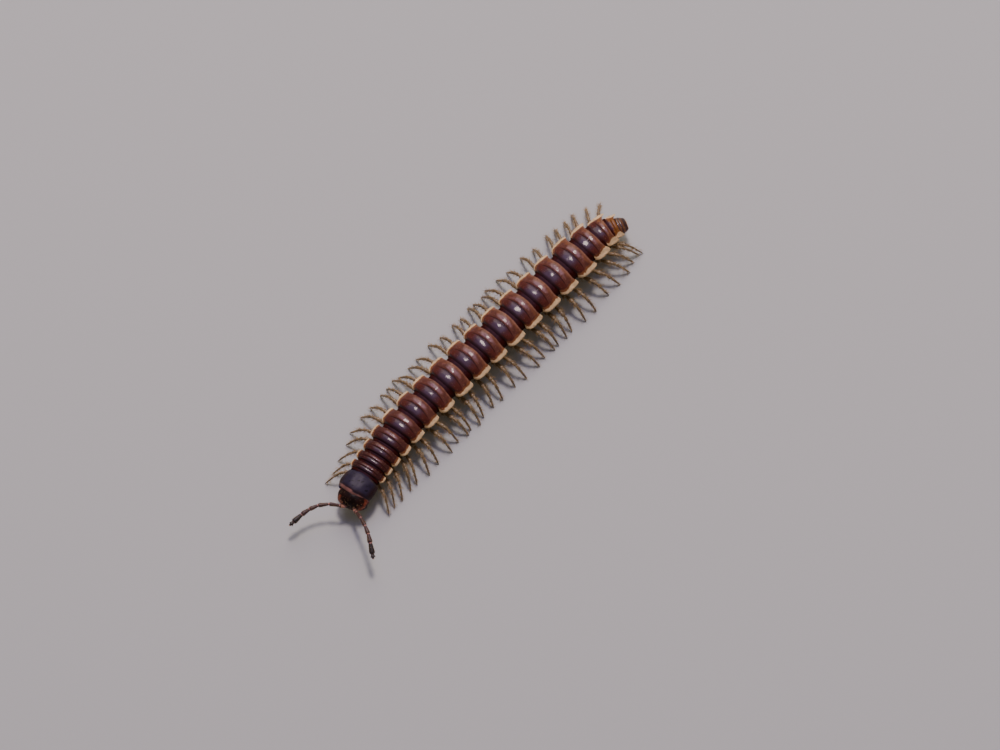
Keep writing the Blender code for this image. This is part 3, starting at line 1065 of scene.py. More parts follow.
SHIELD = Outline((
    (0.0, 0.00, 1.00), (1.0, 0.30, 0.975), (2.0, 0.57, 0.89), (3.0, 0.79, 0.75), (4.0, 0.94, 0.60),
    (5.0, 1.00, 0.48), (6.0, 0.985, 0.40), (7.0, 0.86, 0.345), (8.0, 0.74, 0.29), (9.0, 0.62, 0.20),
    (10.0, 0.42, 0.07), (11.0, 0.00, 0.00),
))
CONE = Outline((
    (0.0, 0.00, 1.00), (1.0, 0.30, 0.97), (2.0, 0.57, 0.90), (3.0, 0.79, 0.80), (4.0, 0.94, 0.67),
    (5.0, 1.00, 0.53), (6.0, 0.97, 0.41), (7.0, 0.88, 0.30), (8.0, 0.76, 0.21), (9.0, 0.60, 0.12),
    (10.0, 0.34, 0.03), (11.0, 0.00, 0.00),
))


# Rings 2 to 19


@dataclass
class TrunkRing:
    """One of the rings 2 to 19: a neck that slides into the ring before it, and the keeled part.

    Attributes:
        body: the body's plan.
        number: its number in the body.
        columns: points around it.
        rows: rows along its outside.
        stations: (share of the ring's length, keel spread, rise of the back, fall in the furrow).
        corner_rows: (place on the half outline, share of the corner's draw) around the keel.
        corner_starts: share of the length from which the keel's corner is drawn back.
        bow_full_at: share of the length from which the ring is fully bowed.
        neck_ends: share of the length at which the dull neck ends.
        neck_widths: factor on the width of the neck, by ring number.
        furrow_reach: share of the half width that the furrow reaches.
        lead: how far the bulge starts ahead at the middle, as a share of the length.
        notch: how far the back's hind margin stays ahead of the keels', as a share of the length.
        lip: thickness of its hind rim.
        recess: depth of the hollow behind it that takes the next neck.
        hollow_from: how far ahead of the hind rim its wall begins.
        hollow_wider: its size as a multiple of the next neck's.
        corner_power: power of the share by which the keel's corner is drawn back.
        pale_band: width of the keels' pale band as a share of the half width, by ring number.
        pale_by_side: factor on it on the right side and on the left.
        warmth, strength, depth, gold: strength of the warm brown, the chestnut, the front rings'
            dark ground and the hind rings' gold, by ring number.
        pore_rings: rings whose keels carry the pore of a gland.
        pore_place: share of the length and place on the half outline of the pore.
        hair_shares: shares of the length at which rows of hairs stand.
        hair_places: places of those hairs on the half outline.
    """

    body: BodyPlan
    number: int
    columns: int = 154
    rows: int = 74
    stations: Table = (
        (-0.16, 0.00, -0.12, 0.00), (-0.02, 0.00, 0.00, 0.00), (0.08, 0.00, 0.10, 0.00),
        (0.14, 0.00, 0.08, 0.00), (0.18, 0.06, 0.08, 0.00), (0.22, 0.20, 0.38, 0.00),
        (0.26, 0.37, 0.68, 0.00), (0.33, 0.62, 0.90, 0.00), (0.41, 0.82, 1.00, 0.00),
        (0.51, 0.95, 1.00, 0.006), (0.556, 0.980, 0.99, 0.030), (0.576, 0.990, 0.985, 0.040),
        (0.602, 1.000, 0.995, 0.024), (0.67, 1.02, 1.02, 0.00), (0.79, 1.02, 1.025, 0.00),
        (0.92, 0.990, 1.00, 0.020), (1.00, 0.900, 0.96, 0.050),
    )
    corner_rows: Table = ((2, 0.0), (3, 0.25), (4, 0.80), (5, 1.0), (6, 0.90), (7, 0.35), (8, 0.0))
    corner_starts: float = 0.60
    bow_full_at: float = 0.30
    neck_ends: float = 0.205
    neck_widths: Table = ((2, 1.22), (5, 1.10), (8, 1.0), (20, 1.0))
    furrow_reach: float = 0.80
    lead: float = 0.09
    notch: float = 0.025
    lip: float = 0.035
    recess: float = 0.17
    hollow_from: float = 0.11
    hollow_wider: float = 1.05
    corner_power: float = 1.3
    line_depth: float = 0.0015
    bead_height: float = 0.003
    cross_depth: float = 0.035
    margin_height: float = 0.010
    wave_heights: tuple[float, float] = (0.005, 0.0022)
    pad_height: float = 0.016
    pit_depth: float = 0.030
    pale_band: Table = ((2, 0.05), (5, 0.09), (7, 0.12), (16, 0.13), (17, 0.20), (19, 0.28))
    pale_by_side: tuple[float, float] = (0.8, 1.05)
    warmth: Table = ((2, 0.15), (6, 0.25), (9, 0.6), (12, 0.8), (19, 1.0))
    strength: Table = ((2, 0.6), (5, 0.8), (9, 1.0), (19, 1.0))
    depth: Table = ((2, 0.85), (5, 0.55), (8, 0.0), (19, 0.0))
    gold: Table = ((17, 0.0), (18, 0.3), (19, 1.0))
    border_seed: int = 70
    margin_seed: int = 40
    fine_seed: int = 20
    pore_rings: tuple[int, ...] = (5, 7, 9, 10, 12, 13, 15, 16, 17, 18, 19)
    pore_place: tuple[float, float] = (0.76, 5.1)
    hair_shares: tuple[float, ...] = (0.36, 0.70, 0.95)
    hair_places: tuple[float, ...] = (1.3, 2.1, 2.9, 3.8, 5.0)
    UPPER = (6.0, 4.0)

    def _sized(self, outline: Outline, ring: int) -> tuple[np.ndarray, ...]:
        """An outline around at a ring's size: place on it, distance across, height."""
        place, across, height = outline.around(self.columns)
        belly = self.body.belly(ring)
        return place, across * self.body.half_width(ring), belly + height * (self.body.back(ring) - belly)

    def shares(self) -> np.ndarray:
        """Place of each row as a share of the ring's length."""
        return spread_rows(np.array(self.stations), self.rows)

    def outside(self) -> tuple[np.ndarray, dict[str, np.ndarray]]:
        """The ring's outer surface as a grid, and the masks on it.

        At each station the outline lies between that of the neck and the keeled one: the spread
        moves it sideways and the rise in height. The furrow lowers the back, most at the middle.
        The ring is bowed, so that its sides lie ahead with the square of the distance across.

        Returns:
            Points of shape (rows, columns, 3), and masks on the same grid.
        """
        table = np.array(self.stations)
        share = self.shares()
        spread, rise, fall = (column[:, None] for column in eased(table[:, 0], table[:, 1:], share).T)
        share = share[:, None]
        place, neck_across, neck_height = self._sized(NECKED, self.number - 1)
        neck_across = neck_across * straight(self.neck_widths, self.number)
        place, full_across, full_height = self._sized(KEELED, self.number)
        across = neck_across + (full_across - neck_across) * spread
        height = neck_height + (full_height - neck_height) * rise
        half = self.body.half_width(self.number)
        upper = ramp(*self.UPPER, place)
        height = height - fall * upper * np.clip(1 - (across / (self.furrow_reach * half)) ** 2, 0, 1)
        corner = np.clip((share - self.corner_starts) / (1 - self.corner_starts), 0, 1) ** self.corner_power
        profile = eased(*np.array(self.corner_rows).T, np.clip(place, 2, 8))
        bow = np.clip(share / self.bow_full_at, 0, 1) * straight(self.body.sides_ahead, self.number)
        start = self.body.start(self.number) + self.body.gap / 2
        end = self.body.start(self.number + 1) - self.body.gap / 2
        along = start + share * (end - start) + straight(self.body.corners, self.number) * profile * corner
        sideways = np.abs(across) / half
        notch = self.notch * (end - start) * ramp(0.97, 0.75, sideways)
        notch = notch * ramp(0.60, 1.0, share) * upper
        lead = self.lead * ramp(3.8, 0.8, place) * ramp(-0.02, 0.16, share) * ramp(0.50, 0.26, share)
        along = along - bow * (across / half) ** 2 - notch - lead * (end - start)
        points = self.body.place(along, across, height)
        out = grid_normals(points)
        points = points + out * self._relief(share, place, across, points)[..., None]
        out_there = np.abs(across) / half
        inside = out_there.max(axis=1, keepdims=True) - out_there
        inside = inside + 0.012 * ripples(points, 0.10, self.border_seed + self.number)
        return points, self._masks(share, place, out_there, inside)

    def _pore(self, share: np.ndarray, place: np.ndarray, size: float) -> np.ndarray:
        """A spot of a size about the gland's pore: 1 at its middle, 0 on rings that have none."""
        away = np.hypot((share - self.pore_place[0]) / 0.10, (place - self.pore_place[1]) / 0.55)
        return hump(0.0, size, away) * (self.number in self.pore_rings)

    def _relief(
        self, share: np.ndarray, place: np.ndarray, across: np.ndarray, points: np.ndarray
    ) -> np.ndarray:
        """How far the skin stands out of the plain form, in mm.

        It is the sum of the middle line, the fine beads of the waist, the pad and pit of the
        gland's pore, the cross-shaped dent between the legs, small dents along the keels'
        margins and slight ripples.

        Args:
            share: place along the ring.
            place: place on the half outline.
            across: distance across.
            points: the plain form.

        Returns:
            Distances on the grid.
        """
        keeled = ramp(0.28, 0.42, share)
        line = -self.line_depth * hump(0.0, 0.04, across) * keeled * ramp(*self.UPPER, place)
        turns = np.arange(self.columns) * math.pi
        beads = self.bead_height * np.cos(turns) * hump(0.195, 0.03, share)
        under = ramp(9.6, 10.2, place)
        dents = hump(0.0, 0.05, across) + hump(0.62, 0.05, share)
        cross = -self.cross_depth * under * dents * ramp(0.25, 0.35, share)
        uneven = ripples(points, 0.12, self.margin_seed + self.number)
        margin = self.margin_height * hump(5.1, 0.7, place) * uneven * keeled
        wide, fine = self.wave_heights
        waves = wide * ripples(points, 0.55, self.number) * keeled
        close = ripples(points, 0.16, self.fine_seed + self.number)
        waves = waves + fine * close * ramp(0.60, 0.66, share)
        pore = self.pad_height * self._pore(share, place, 1.0)
        pore = pore - self.pit_depth * self._pore(share, place, 0.30)
        return line + beads + cross + margin + waves + pore

    def _masks(
        self, share: np.ndarray, place: np.ndarray, out: np.ndarray, inside: np.ndarray
    ) -> dict[str, np.ndarray]:
        """Where the pigments lie, and where sheen and shade are painted.

        The pale band is a crescent along the keel's margin, thin at the front of the ring and
        widest towards its hind corner.

        Args:
            share: place along the ring.
            place: place on the half outline.
            out: share of the half width.
            inside: distance in from the ring's side edge as a share of the half width.

        Returns:
            Masks on the grid, by name.
        """
        number = self.number
        top = ramp(7.0, 5.6, place)
        middle = ramp(0.72, 0.05, out)
        right = np.arange(self.columns) < self.columns / 2
        band = straight(self.pale_band, number) * (0.30 + 0.70 * ramp(0.25, 0.80, share))
        band = band * np.where(right, *self.pale_by_side)
        warmth = straight(self.warmth, number)
        strength = straight(self.strength, number)
        depth = straight(self.depth, number)
        gold = straight(self.gold, number)
        winged = ramp(0.21, 0.26, share) * ramp(7.4, 6.6, place)
        rear = ramp(0.58, 0.62, share)
        masks = {
            # painted violet sheen over the dark front, on the middle of the back
            "dusk": (1 - rear) * middle * top,
            "rear": rear * top * strength,
            # painted sheen on the crest of the rear band
            "blush": hump(0.76, 0.12, share) * middle * top * strength,
            "warm": warmth * ramp(0.66, 0.98, share) * top,
            "edge": ramp(0.90, 0.96, share) * top * warmth,
            # dark front: pigment, with painted shade of the valley between rings at the sides
            "front": ramp(0.37, 0.25, share) * (1 - 0.6 * middle) * top,
            # painted sheen on the middle of the neck
            "ridge": middle * top,
            "deep": depth * (1 - 0.6 * middle) * top,
            "gold": gold * ramp(0.15, 0.7, share) * top,
            # painted shade in the furrow
            "furrow": hump(0.576, 0.020, share) * ramp(0.80, 0.55, out) * top,
            "flank": ramp(6.8, 8.2, place),
            "belly": ramp(8.8, 10.0, place),
            "rust": ramp(band + 0.17, band + 0.02, inside) * winged,
            "keel": ramp(band + 0.05, band - 0.01, inside) * winged,
            "pore": self._pore(share, place, 0.34),
        }
        return on_grid(masks, out.shape)

    def _joint(self) -> int:
        """Row at which the neck ends and the tergite begins."""
        return int(np.searchsorted(self.shares(), self.neck_ends))

    def neck(self) -> Shape:
        """The dull neck, whose hind rows are sunk below the tergite's front."""
        points, masks = self.outside()
        last = self._joint() + 4
        out = grid_normals(points)[:last]
        sunk = 0.03 * ramp(last - 4, last - 2, np.arange(last))
        rows = points[:last] - out * sunk[:, None, None]
        return Shape.from_rows(rows, {name: masks[name][:last] for name in ("flank", "ridge", "belly")})

    def shell(self) -> Shape:
        """The glossy tergite: the outside, the hind rim and the hollow that takes the next neck."""
        outer, masks = self.outside()
        first = self._joint()
        out = grid_normals(outer)
        inward = -out[-1]
        rear = outer[-1]
        end = self.body.start(self.number + 1) - self.body.gap / 2
        _, across, height = self._sized(NECKED, self.number)
        across = across * straight(self.neck_widths, self.number + 1)
        middle = (self.body.back(self.number) + self.body.belly(self.number)) / 2
        height = middle + (height - middle) * self.hollow_wider
        wall = [
            self.body.place(np.full(self.columns, end - depth), across * self.hollow_wider, height)
            for depth in (self.hollow_from, self.hollow_from + self.recess)
        ]
        rounded = rear + inward * self.lip * 0.5
        ahead, _ = self.body.directions(end)
        inner = np.stack((rear + inward * self.lip * 0.15 - ahead * 0.008, rounded - ahead * 0.010, *wall))
        rows = np.concatenate((outer[first : first + 1] - out[first] * 0.04, outer[first:], inner))
        grown = {}
        for name, values in masks.items():
            tail = np.repeat(values[-1:], len(inner), axis=0)
            # painted shade: the wall of the hollow is darkened fully
            if name == "furrow":
                tail = np.concatenate((tail[:2], np.ones((2, self.columns))))
            grown[name] = np.concatenate((values[first : first + 1], values[first:], tail))
        return Shape.from_rows(rows, grown)

    def bristles(self) -> Shape:
        """Rows of short hairs across the back and along the keels' edges."""
        points, _ = self.outside()
        share = self.shares()
        picked_rows = np.array([int(np.argmin(np.abs(share - at))) for at in self.hair_shares])
        right = self.columns * np.array(self.hair_places) / (2 * Outline.LAST)
        picked_columns = np.concatenate((right, self.columns - right)).astype(int)
        row, column = (grid.ravel() for grid in np.meshgrid(picked_rows, picked_columns, indexing="ij"))
        ahead, _ = self.body.directions(self.body.start(self.number))
        strip = self.number / MAP_STRIPS + share[row] / MAP_STRIP_PARTS
        return Bristle(0.055, 0.004).grown_on(points, row, column, -ahead, strip, self.number)


# Legs


@dataclass(frozen=True)
class Gait:
    """Where the legs grow and how they are held, as in the solids.

    Attributes:
        reach: distance from the first root to the foot in mm, for a leg of full size.
        reach_by_size: part of what a smaller leg lacks in size that its reach lacks too.
        root_sink: height of the root above the belly, in mm.
        sweep: power of the share of the reach by which a leg runs forwards.
        heights: (share of the reach, height in mm) from the coxa's end to the foot.
        leans: (number of the pair, angle towards the head in degrees).
        swing: how far the walking wave moves a leg, in degrees.
        period: number of pairs in one wave.
        phase: half of the shift of the wave between the two sides, in radians.
        variation: largest random change of a leg's reach and heights, as a share.
    """

    reach: float = 2.14
    reach_by_size: float = 0.4
    root_across: float = 0.20
    root_sink: float = 0.17
    sweep: float = 1.7
    sizes: Table = ((2, 0.74), (4, 0.82), (6, 0.95), (8, 1.00), (16, 1.00), (17, 0.92), (18, 0.72))
    heights: Table = (
        (0.20, 0.57), (0.33, 0.71), (0.45, 0.80), (0.57, 0.82), (0.69, 0.74), (0.79, 0.57), (0.90, 0.28),
    )
    leans: Table = ((0, 34.0), (3, 20.0), (8, 3.0), (22, -3.0), (27, -16.0), (30, -42.0))
    swing: float = 9.0
    period: float = 9.5
    phase: float = 0.6
    variation: float = 0.04
    seed: int = 11

    def places(self, ring: int) -> tuple[float, ...]:
        """Shares of a ring's length at which its pairs of legs grow."""
        return (0.55,) if ring < 5 else (0.42, 0.82)

    def lean(self, pair: int, side: Side) -> float:
        """Angle of a leg towards the head in radians: the fan of the legs plus the walking wave."""
        wave = math.sin(2 * math.pi * pair / self.period + self.phase * side.value)
        return math.radians(straight(self.leans, pair) + self.swing * wave)


@dataclass
class Leg:
    """One walking leg: coxa, trochanter, prefemur, femur, postfemur, tibia, tarsus and claw.

    Attributes:
        body: the body's plan.
        gait: how the legs are held.
        ring: number of its ring.
        along: distance along the body of its root.
        side: side of the animal.
        lean: angle towards the head in radians.
        vary: factors on its reach and heights.
        profile: (share of the reach, radius in mm), narrow at each joint.
        joints: shares of the reach at the joints.
        haired: shares of the reach between which hairs grow.
        lowest: lowest height of any point, in mm.
    """

    body: BodyPlan
    gait: Gait
    ring: int
    along: float
    side: Side
    lean: float
    vary: np.ndarray
    columns: int = 12
    profile: Table = (
        (0.000, 0.140), (0.040, 0.152), (0.120, 0.146), (0.155, 0.122), (0.165, 0.095),
        (0.178, 0.108), (0.200, 0.115), (0.215, 0.088), (0.230, 0.094), (0.280, 0.126),
        (0.320, 0.128), (0.345, 0.104), (0.353, 0.072), (0.368, 0.079), (0.450, 0.094),
        (0.540, 0.110), (0.565, 0.100), (0.575, 0.063), (0.590, 0.070), (0.640, 0.084),
        (0.675, 0.087), (0.690, 0.054), (0.705, 0.060), (0.750, 0.078), (0.790, 0.081),
        (0.800, 0.047), (0.815, 0.053), (0.860, 0.060), (0.920, 0.051), (0.965, 0.039),
        (0.975, 0.026), (0.985, 0.019), (0.995, 0.010), (1.000, 0.004),
    )
    joints: tuple[float, ...] = (0.165, 0.215, 0.353, 0.575, 0.690, 0.800, 0.975)
    haired: tuple[float, float] = (0.20, 0.965)
    hairs: int = 140
    lowest: float = 0.001

    @property
    def size(self) -> float:
        """Size of the leg as a share of the largest."""
        return straight(self.gait.sizes, self.ring)

    def path(self, share: np.ndarray) -> np.ndarray:
        """Points of the leg's centre line.

        It runs outwards by the share of the reach times the cosine of the lean, and forwards by
        the share to the power of the sweep times the sine.

        Args:
            share: shares of the reach.

        Returns:
            Points of shape (n, 3).
        """
        gait = self.gait
        reach = gait.reach * (1 - gait.reach_by_size * (1 - self.size)) * self.vary[0]
        ahead, right = self.body.directions(self.along)
        outward = gait.root_across + share * reach * math.cos(self.lean)
        forward = share**gait.sweep * reach * math.sin(self.lean)
        table = np.array(((0.0, self.body.belly(self.ring) + gait.root_sink), *gait.heights, (1.0, 0.006)))
        table[1:-1, 1] *= self.vary[1]
        points = self.body.place(np.array(self.along), 0.0, 0.0)
        points = points + outward[:, None] * right * self.side.value + forward[:, None] * ahead
        points[:, 2] = eased(table[:, 0], table[:, 1], share)
        return points

    def skin(self) -> Shape:
        """The leg as round loops along its centre line, two between each pair of profile rows."""
        table = np.array(self.profile)
        share = spread_rows(table, 2 * len(table) - 1)
        radii = eased(table[:, 0], table[:, 1], share) * self.size
        rows = round_rows(self.path(share), radii, self.columns)
        rows[..., 2] = np.maximum(rows[..., 2], self.lowest)
        joint = sum(hump(at, 0.008, share) for at in self.joints)
        masks = {
            "outer": ramp(0.35, 0.95, share),
            "joint": np.clip(joint, 0, 1),
            "claw": ramp(0.962, 0.98, share),
        }
        return Shape.banded(rows, masks)

    def bristles(self, seed: int) -> Shape:
        """Hairs all round the leg from the prefemur to the tarsus, pointing down along it.

        Args:
            seed: seed of their places.

        Returns:
            The hairs.
        """
        chance = np.random.default_rng(seed)
        share = np.sort(chance.uniform(*self.haired, self.hairs))
        turn = chance.uniform(0, 2 * math.pi, len(share))
        table = np.array(self.profile)
        radii = eased(table[:, 0], table[:, 1], share) * self.size
        path = self.path(share)
        along, above, beside = tube_frame(path)
        out = np.cos(turn)[:, None] * above + np.sin(turn)[:, None] * beside
        strip = self.ring / MAP_STRIPS + share / MAP_STRIP_PARTS
        spots = np.stack((strip, 0.5 + turn / 20 * self.side.value), axis=-1)
        hairs = Bristle(0.19, 0.0075, lean=0.75).grown(path + out * radii[:, None], out, along, spots, seed)
        hairs.points[:, 2] = np.maximum(hairs.points[:, 2], self.lowest)
        return hairs


@dataclass
class Trunk:
    """Rings 2 to 19 with their legs."""

    body: BodyPlan
    gait: Gait = field(default_factory=Gait)
    seeds_by_pair: int = 100

    def build(self, wardrobe: Wardrobe) -> None:
        """Builds every ring's shell, legs and hairs.

        Args:
            wardrobe: the materials.
        """
        chance = np.random.default_rng(self.gait.seed)
        pair = 0
        for number in range(FIRST_RING, LAST_RING + 1):
            ring = TrunkRing(self.body, number)
            name = f"ring_{number:02d}"
            ring.shell().place(name + "_shell", wardrobe[RING_FINISH], Slot.RING, name)
            ring.neck().place(name + "_neck", wardrobe[NECK_FINISH], Slot.RING)
            hairs = [ring.bristles()]
            legs = []
            for share in self.gait.places(number) if number < LAST_RING else ():
                for side in (Side.LEFT, Side.RIGHT):
                    vary = 1 + self.gait.variation * chance.uniform(-1, 1, 2)
                    along = self.body.start(number) + share * self.body.ring_length[number - 1]
                    leg = Leg(self.body, self.gait, number, along, side, self.gait.lean(pair, side), vary)
                    legs.append(leg.skin())
                    hairs.append(leg.bristles(self.seeds_by_pair * pair + side.value + 1))
                pair += 1
            if legs:
                Shape.together(legs).place(name + "_legs", wardrobe[LEG_FINISH], Slot.RING)
            Shape.together(hairs).place(name + "_setae", wardrobe[SETA_FINISH], Slot.RING)


# Collum and telson


@dataclass
class Collum:
    """The first ring: a smooth domed shield whose front margin is an arc, over the soft neck.

    Attributes:
        body: the body's plan.
        stations: (share of the length, share of the half width, fall of the back in mm).
        arc: how far the front margin is drawn back at the sides, in mm.
        bulge: how far it reaches over the head in the middle, in mm.
        rim_width: middle width of the pale line along it, in mm.
        rim_by_side: factor on it on the left side and on the right.
        closed_by: (share of the margin's size, depth in mm) of the rows that turn a margin in.
        top_side: places on the half outline between which the underside passes into the top.
    """

    body: BodyPlan
    columns: int = 154
    rows: int = 60
    stations: Table = (
        (0.00, 0.90, 0.17), (0.04, 0.925, 0.125), (0.10, 0.96, 0.07), (0.20, 0.985, 0.03), (0.32, 1.00, 0.01),
        (0.60, 0.99, 0.00), (0.86, 0.95, 0.04), (0.96, 0.915, 0.085), (1.00, 0.90, 0.11),
    )
    arc: float = 0.12
    bulge: float = 0.13
    rim_width: float = 0.06
    rim_by_side: tuple[float, float] = (0.7, 1.4)
    closed_by: Table = ((0.90, 0.12), (0.95, -0.004), (0.985, -0.006))
    top_side: tuple[float, float] = (7.0, 5.5)

    def _rows(self) -> tuple[np.ndarray, ...]:
        """The shield's outer rows, with the share of the length, the place and the share across.

        The front margin is drawn back at the sides and bulges over the head in the middle, both
        with the square of the distance across.
        """
        table = np.array(self.stations)
        share = spread_rows(table, self.rows)
        width, fall = (column[:, None] for column in eased(table[:, 0], table[:, 1:], share).T)
        place, across, height = SHIELD.around(self.columns)
        half = self.body.half_width(1)
        belly = self.body.belly(1)
        share = share[:, None]
        across = across * width * half
        height = belly + height * (self.body.back(1) - fall - belly)
        sideways = np.clip(np.abs(across) / half, 0, 1)
        front = (1 - share) ** 2 * ramp(*self.top_side, place)
        drawn = (self.arc * sideways**2 - self.bulge * (1 - sideways**2)) * front
        start = self.body.gap / 2
        length = self.body.ring_length[0] - self.body.gap
        return self.body.place(start + share * length + drawn, across, height), share, place, sideways

    def _masks(
        self, points: np.ndarray, share: np.ndarray, place: np.ndarray, sideways: np.ndarray
    ) -> dict[str, np.ndarray]:
        """Where the pigments lie.

        Args:
            points: the shield's rows.
            share: share of the length.
            place: place on the half outline.
            sideways: share of the half width.

        Returns:
            Masks on the grid, by name.
        """
        top = ramp(*self.top_side, place)
        edge = share * self.body.ring_length[0]
        left = np.arange(self.columns) > self.columns / 2
        wide = self.rim_width * np.where(left, *self.rim_by_side)
        line = ramp(wide + 0.08, wide, edge) * (0.6 + 0.4 * ramp(0.9, 0.3, sideways))
        rim = np.maximum(line, hump(5.3, 0.30, place) * 0.5) * top
        marks = (ripples(points, 0.16, 8) > 1.15) * ramp(0.15, 0.3, share) * ramp(0.9, 0.7, share) * top
        masks = {
            "rim": rim,
            "side": np.maximum(ramp(0.60, 0.95, sideways), 0.6 * ramp(0.30, 0.12, share)) * top,
            "olive": ramp(0.80, 0.98, share) * ramp(0.2, 0.6, sideways) * top * left,
            "mark": marks,
            "belly": ramp(6.2, 7.2, place),
        }
        return on_grid(masks, points.shape[:2])

    def build(self, wardrobe: Wardrobe) -> None:
        """Builds the shield.

        Args:
            wardrobe: the materials.
        """
        points, share, place, sideways = self._rows()
        top = ramp(*self.top_side, place)
        edge = share * self.body.ring_length[0]
        relief = 0.012 * hump(0.03, 0.03, edge) * top - 0.010 * hump(0.11, 0.025, edge) * top
        relief = relief - 0.006 * hump(0.0, 0.03, sideways) * top + 0.006 * ripples(points, 0.45, 3)
        points = points + grid_normals(points) * relief[..., None]
        masks = self._masks(points, share, place, sideways)
        ends = self._ends(points, self.body.ring_length[0])
        rows = np.concatenate((ends[0], points, ends[1]))
        pad = ((len(ends[0]), len(ends[1])), (0, 0))
        masks = {name: np.pad(values, pad, "edge") for name, values in masks.items()}
        Shape.from_rows(rows, masks).place("collum_shield", wardrobe[COLLUM_FINISH], Slot.COLLUM, "collum")

    def _ends(self, points: np.ndarray, end: float) -> tuple[np.ndarray, np.ndarray]:
        """Rows that turn the front and hind margins in and close them.

        Args:
            points: the shield's outer rows.
            end: distance along the body of the hind margin.

        Returns:
            Rows before the first one and rows after the last one.
        """
        ahead, _ = self.body.directions(end)
        middle = points.mean(axis=1)
        spread = points[0] - middle[0]
        front = [middle[0] + spread * inset - ahead * depth for inset, depth in self.closed_by]
        spread = points[-1] - middle[-1]
        rear = [middle[-1] + spread * inset + ahead * depth for inset, depth in self.closed_by[::-1]]
        return np.stack(front), np.stack(rear)


@dataclass
class Telson:
    """The last ring: a cone with a blunt tip, the two anal valves and the plate below them.

    Attributes:
        body: the body's plan.
        stations: (share of the length, half width, height of the back, height of the belly).
        valve: the right valve, with its distance along as a share of the length.
        plate: the plate, in the same way.
        spinning_hairs: shares of the turn around the tip at which its long hairs stand.
    """

    body: BodyPlan
    columns: int = 110
    rows: int = 54
    stations: Table = (
        (-0.12, 0.41, 1.20, 0.66), (0.00, 0.470, 1.24, 0.615), (0.06, 0.475, 1.245, 0.60),
        (0.22, 0.470, 1.22, 0.60), (0.48, 0.44, 1.17, 0.63), (0.70, 0.39, 1.11, 0.70),
        (0.88, 0.33, 1.05, 0.76), (0.97, 0.28, 1.01, 0.79), (1.00, 0.22, 0.985, 0.81),
    )
    valve: Lump = Lump((0.55, 0.14, 0.69), (0.25, 0.175, 0.20), 0.85)
    plate: Lump = Lump((0.28, 0.0, 0.545), (0.15, 0.15, 0.045), 0.7)
    lump_columns: int = 40
    lump_bands: int = 24
    hairs: int = 34
    spinning_hairs: tuple[float, ...] = (0.07, 0.36, 0.64, 0.93)
    seed: int = 20

    def build(self, wardrobe: Wardrobe) -> None:
        """Builds the cone, the valves and the hairs.

        Args:
            wardrobe: the materials.
        """
        self._cone().place("telson_cone", wardrobe[TELSON_FINISH], Slot.TELSON, "telson")
        lumps = [self._swelling(self.valve, side.value) for side in Side]
        lumps.append(self._swelling(self.plate, 0))
        Shape.together(lumps).place("telson_valves", wardrobe[TELSON_FINISH], Slot.TELSON)
        self._bristles().place("telson_setae", wardrobe[SETA_FINISH], Slot.TELSON)

    def _start(self) -> float:
        """Distance along the body at which the telson begins."""
        return self.body.start(LAST_RING + 1) + self.body.gap / 2

    def _length(self) -> float:
        """Length of the telson."""
        return self.body.ring_length[-1] - self.body.gap / 2

    def _grid(self) -> tuple[np.ndarray, np.ndarray, np.ndarray]:
        """The cone's rows, with the share of the length and the place on the half outline."""
        table = np.array(self.stations)
        share = spread_rows(table, self.rows)
        half, back, belly = (column[:, None] for column in eased(table[:, 0], table[:, 1:], share).T)
        place, across, height = CONE.around(self.columns)
        share = share[:, None]
        along = self._start() + share * self._length() + 0 * across
        points = self.body.place(along, across * half, belly + height * (back - belly))
        out = grid_normals(points)
        relief = -0.014 * hump(0.30, 0.03, share) + 0.010 * hump(0.36, 0.05, share)
        relief = relief * ramp(7.0, 5.0, place) + 0.003 * ripples(points, 0.2, 5)
        return points + out * relief[..., None], share, place

    def _cone(self) -> Shape:
        """The cone with its golden bands."""
        points, share, place = self._grid()
        top = ramp(7.5, 6.0, place)
        masks = {
            "band": (hump(0.16, 0.07, share) + hump(0.50, 0.10, share)) * top,
            "stripe": hump(0.74, 0.10, share) * top,
            "edge": np.maximum(hump(5.4, 0.9, place) * ramp(0.0, 0.3, share), ramp(0.90, 0.97, share)) * 0.9,
            "belly": ramp(6.8, 8.2, place) + 0 * share,
            "seam": hump(0.29, 0.02, share) * top,
        }
        return Shape.from_rows(points, {k: np.clip(v, 0, 1) for k, v in masks.items()})

    def _swelling(self, lump: Lump, side: int) -> Shape:
        """A closed lump at the end of the telson.

        Args:
            lump: its form, with its distance along as a share of the telson's length.
            side: 1 or -1 for the right or the left side, 0 for the middle.

        Returns:
            The closed shape, on the sides with a seam mask near its inner edge.
        """
        share, across, height = lump.centre
        centre = (self._start() + share * self._length(), side * across, height)
        x, y, z, out = Lump(centre, lump.radii, lump.power).grid(self.lump_columns, self.lump_bands)
        masks = {"valve": np.ones_like(x), "seam": ramp(0.75, 1.0, -side * out) * abs(side)}
        return Shape.from_rows(self.body.place(x, y, z), masks)

    def _bristles(self) -> Shape:
        """Hairs on the cone and four spinning hairs at its tip."""
        points, share, _ = self._grid()
        chance = np.random.default_rng(self.seed)
        row = chance.integers(16, self.rows - 2, self.hairs)
        column = chance.integers(0, self.columns, self.hairs)
        ahead, _ = self.body.directions(self._start() + self._length())
        strip = 0.955 + share[row, 0] / 30
        short = Bristle(0.09, 0.004, lean=1.0)
        coat = short.grown_on(points, row, column, -ahead, strip, self.seed + 1)
        tip = (self.columns * np.array(self.spinning_hairs)).astype(int)
        last = np.full(len(tip), self.rows - 1)
        strip = np.full(len(tip), 0.99)
        long = Bristle(0.12, 0.005, lean=3.0)
        spin = long.grown_on(points, last, tip, -ahead, strip, self.seed + 2)
        return Shape.together([coat, spin])


# Head and antennae


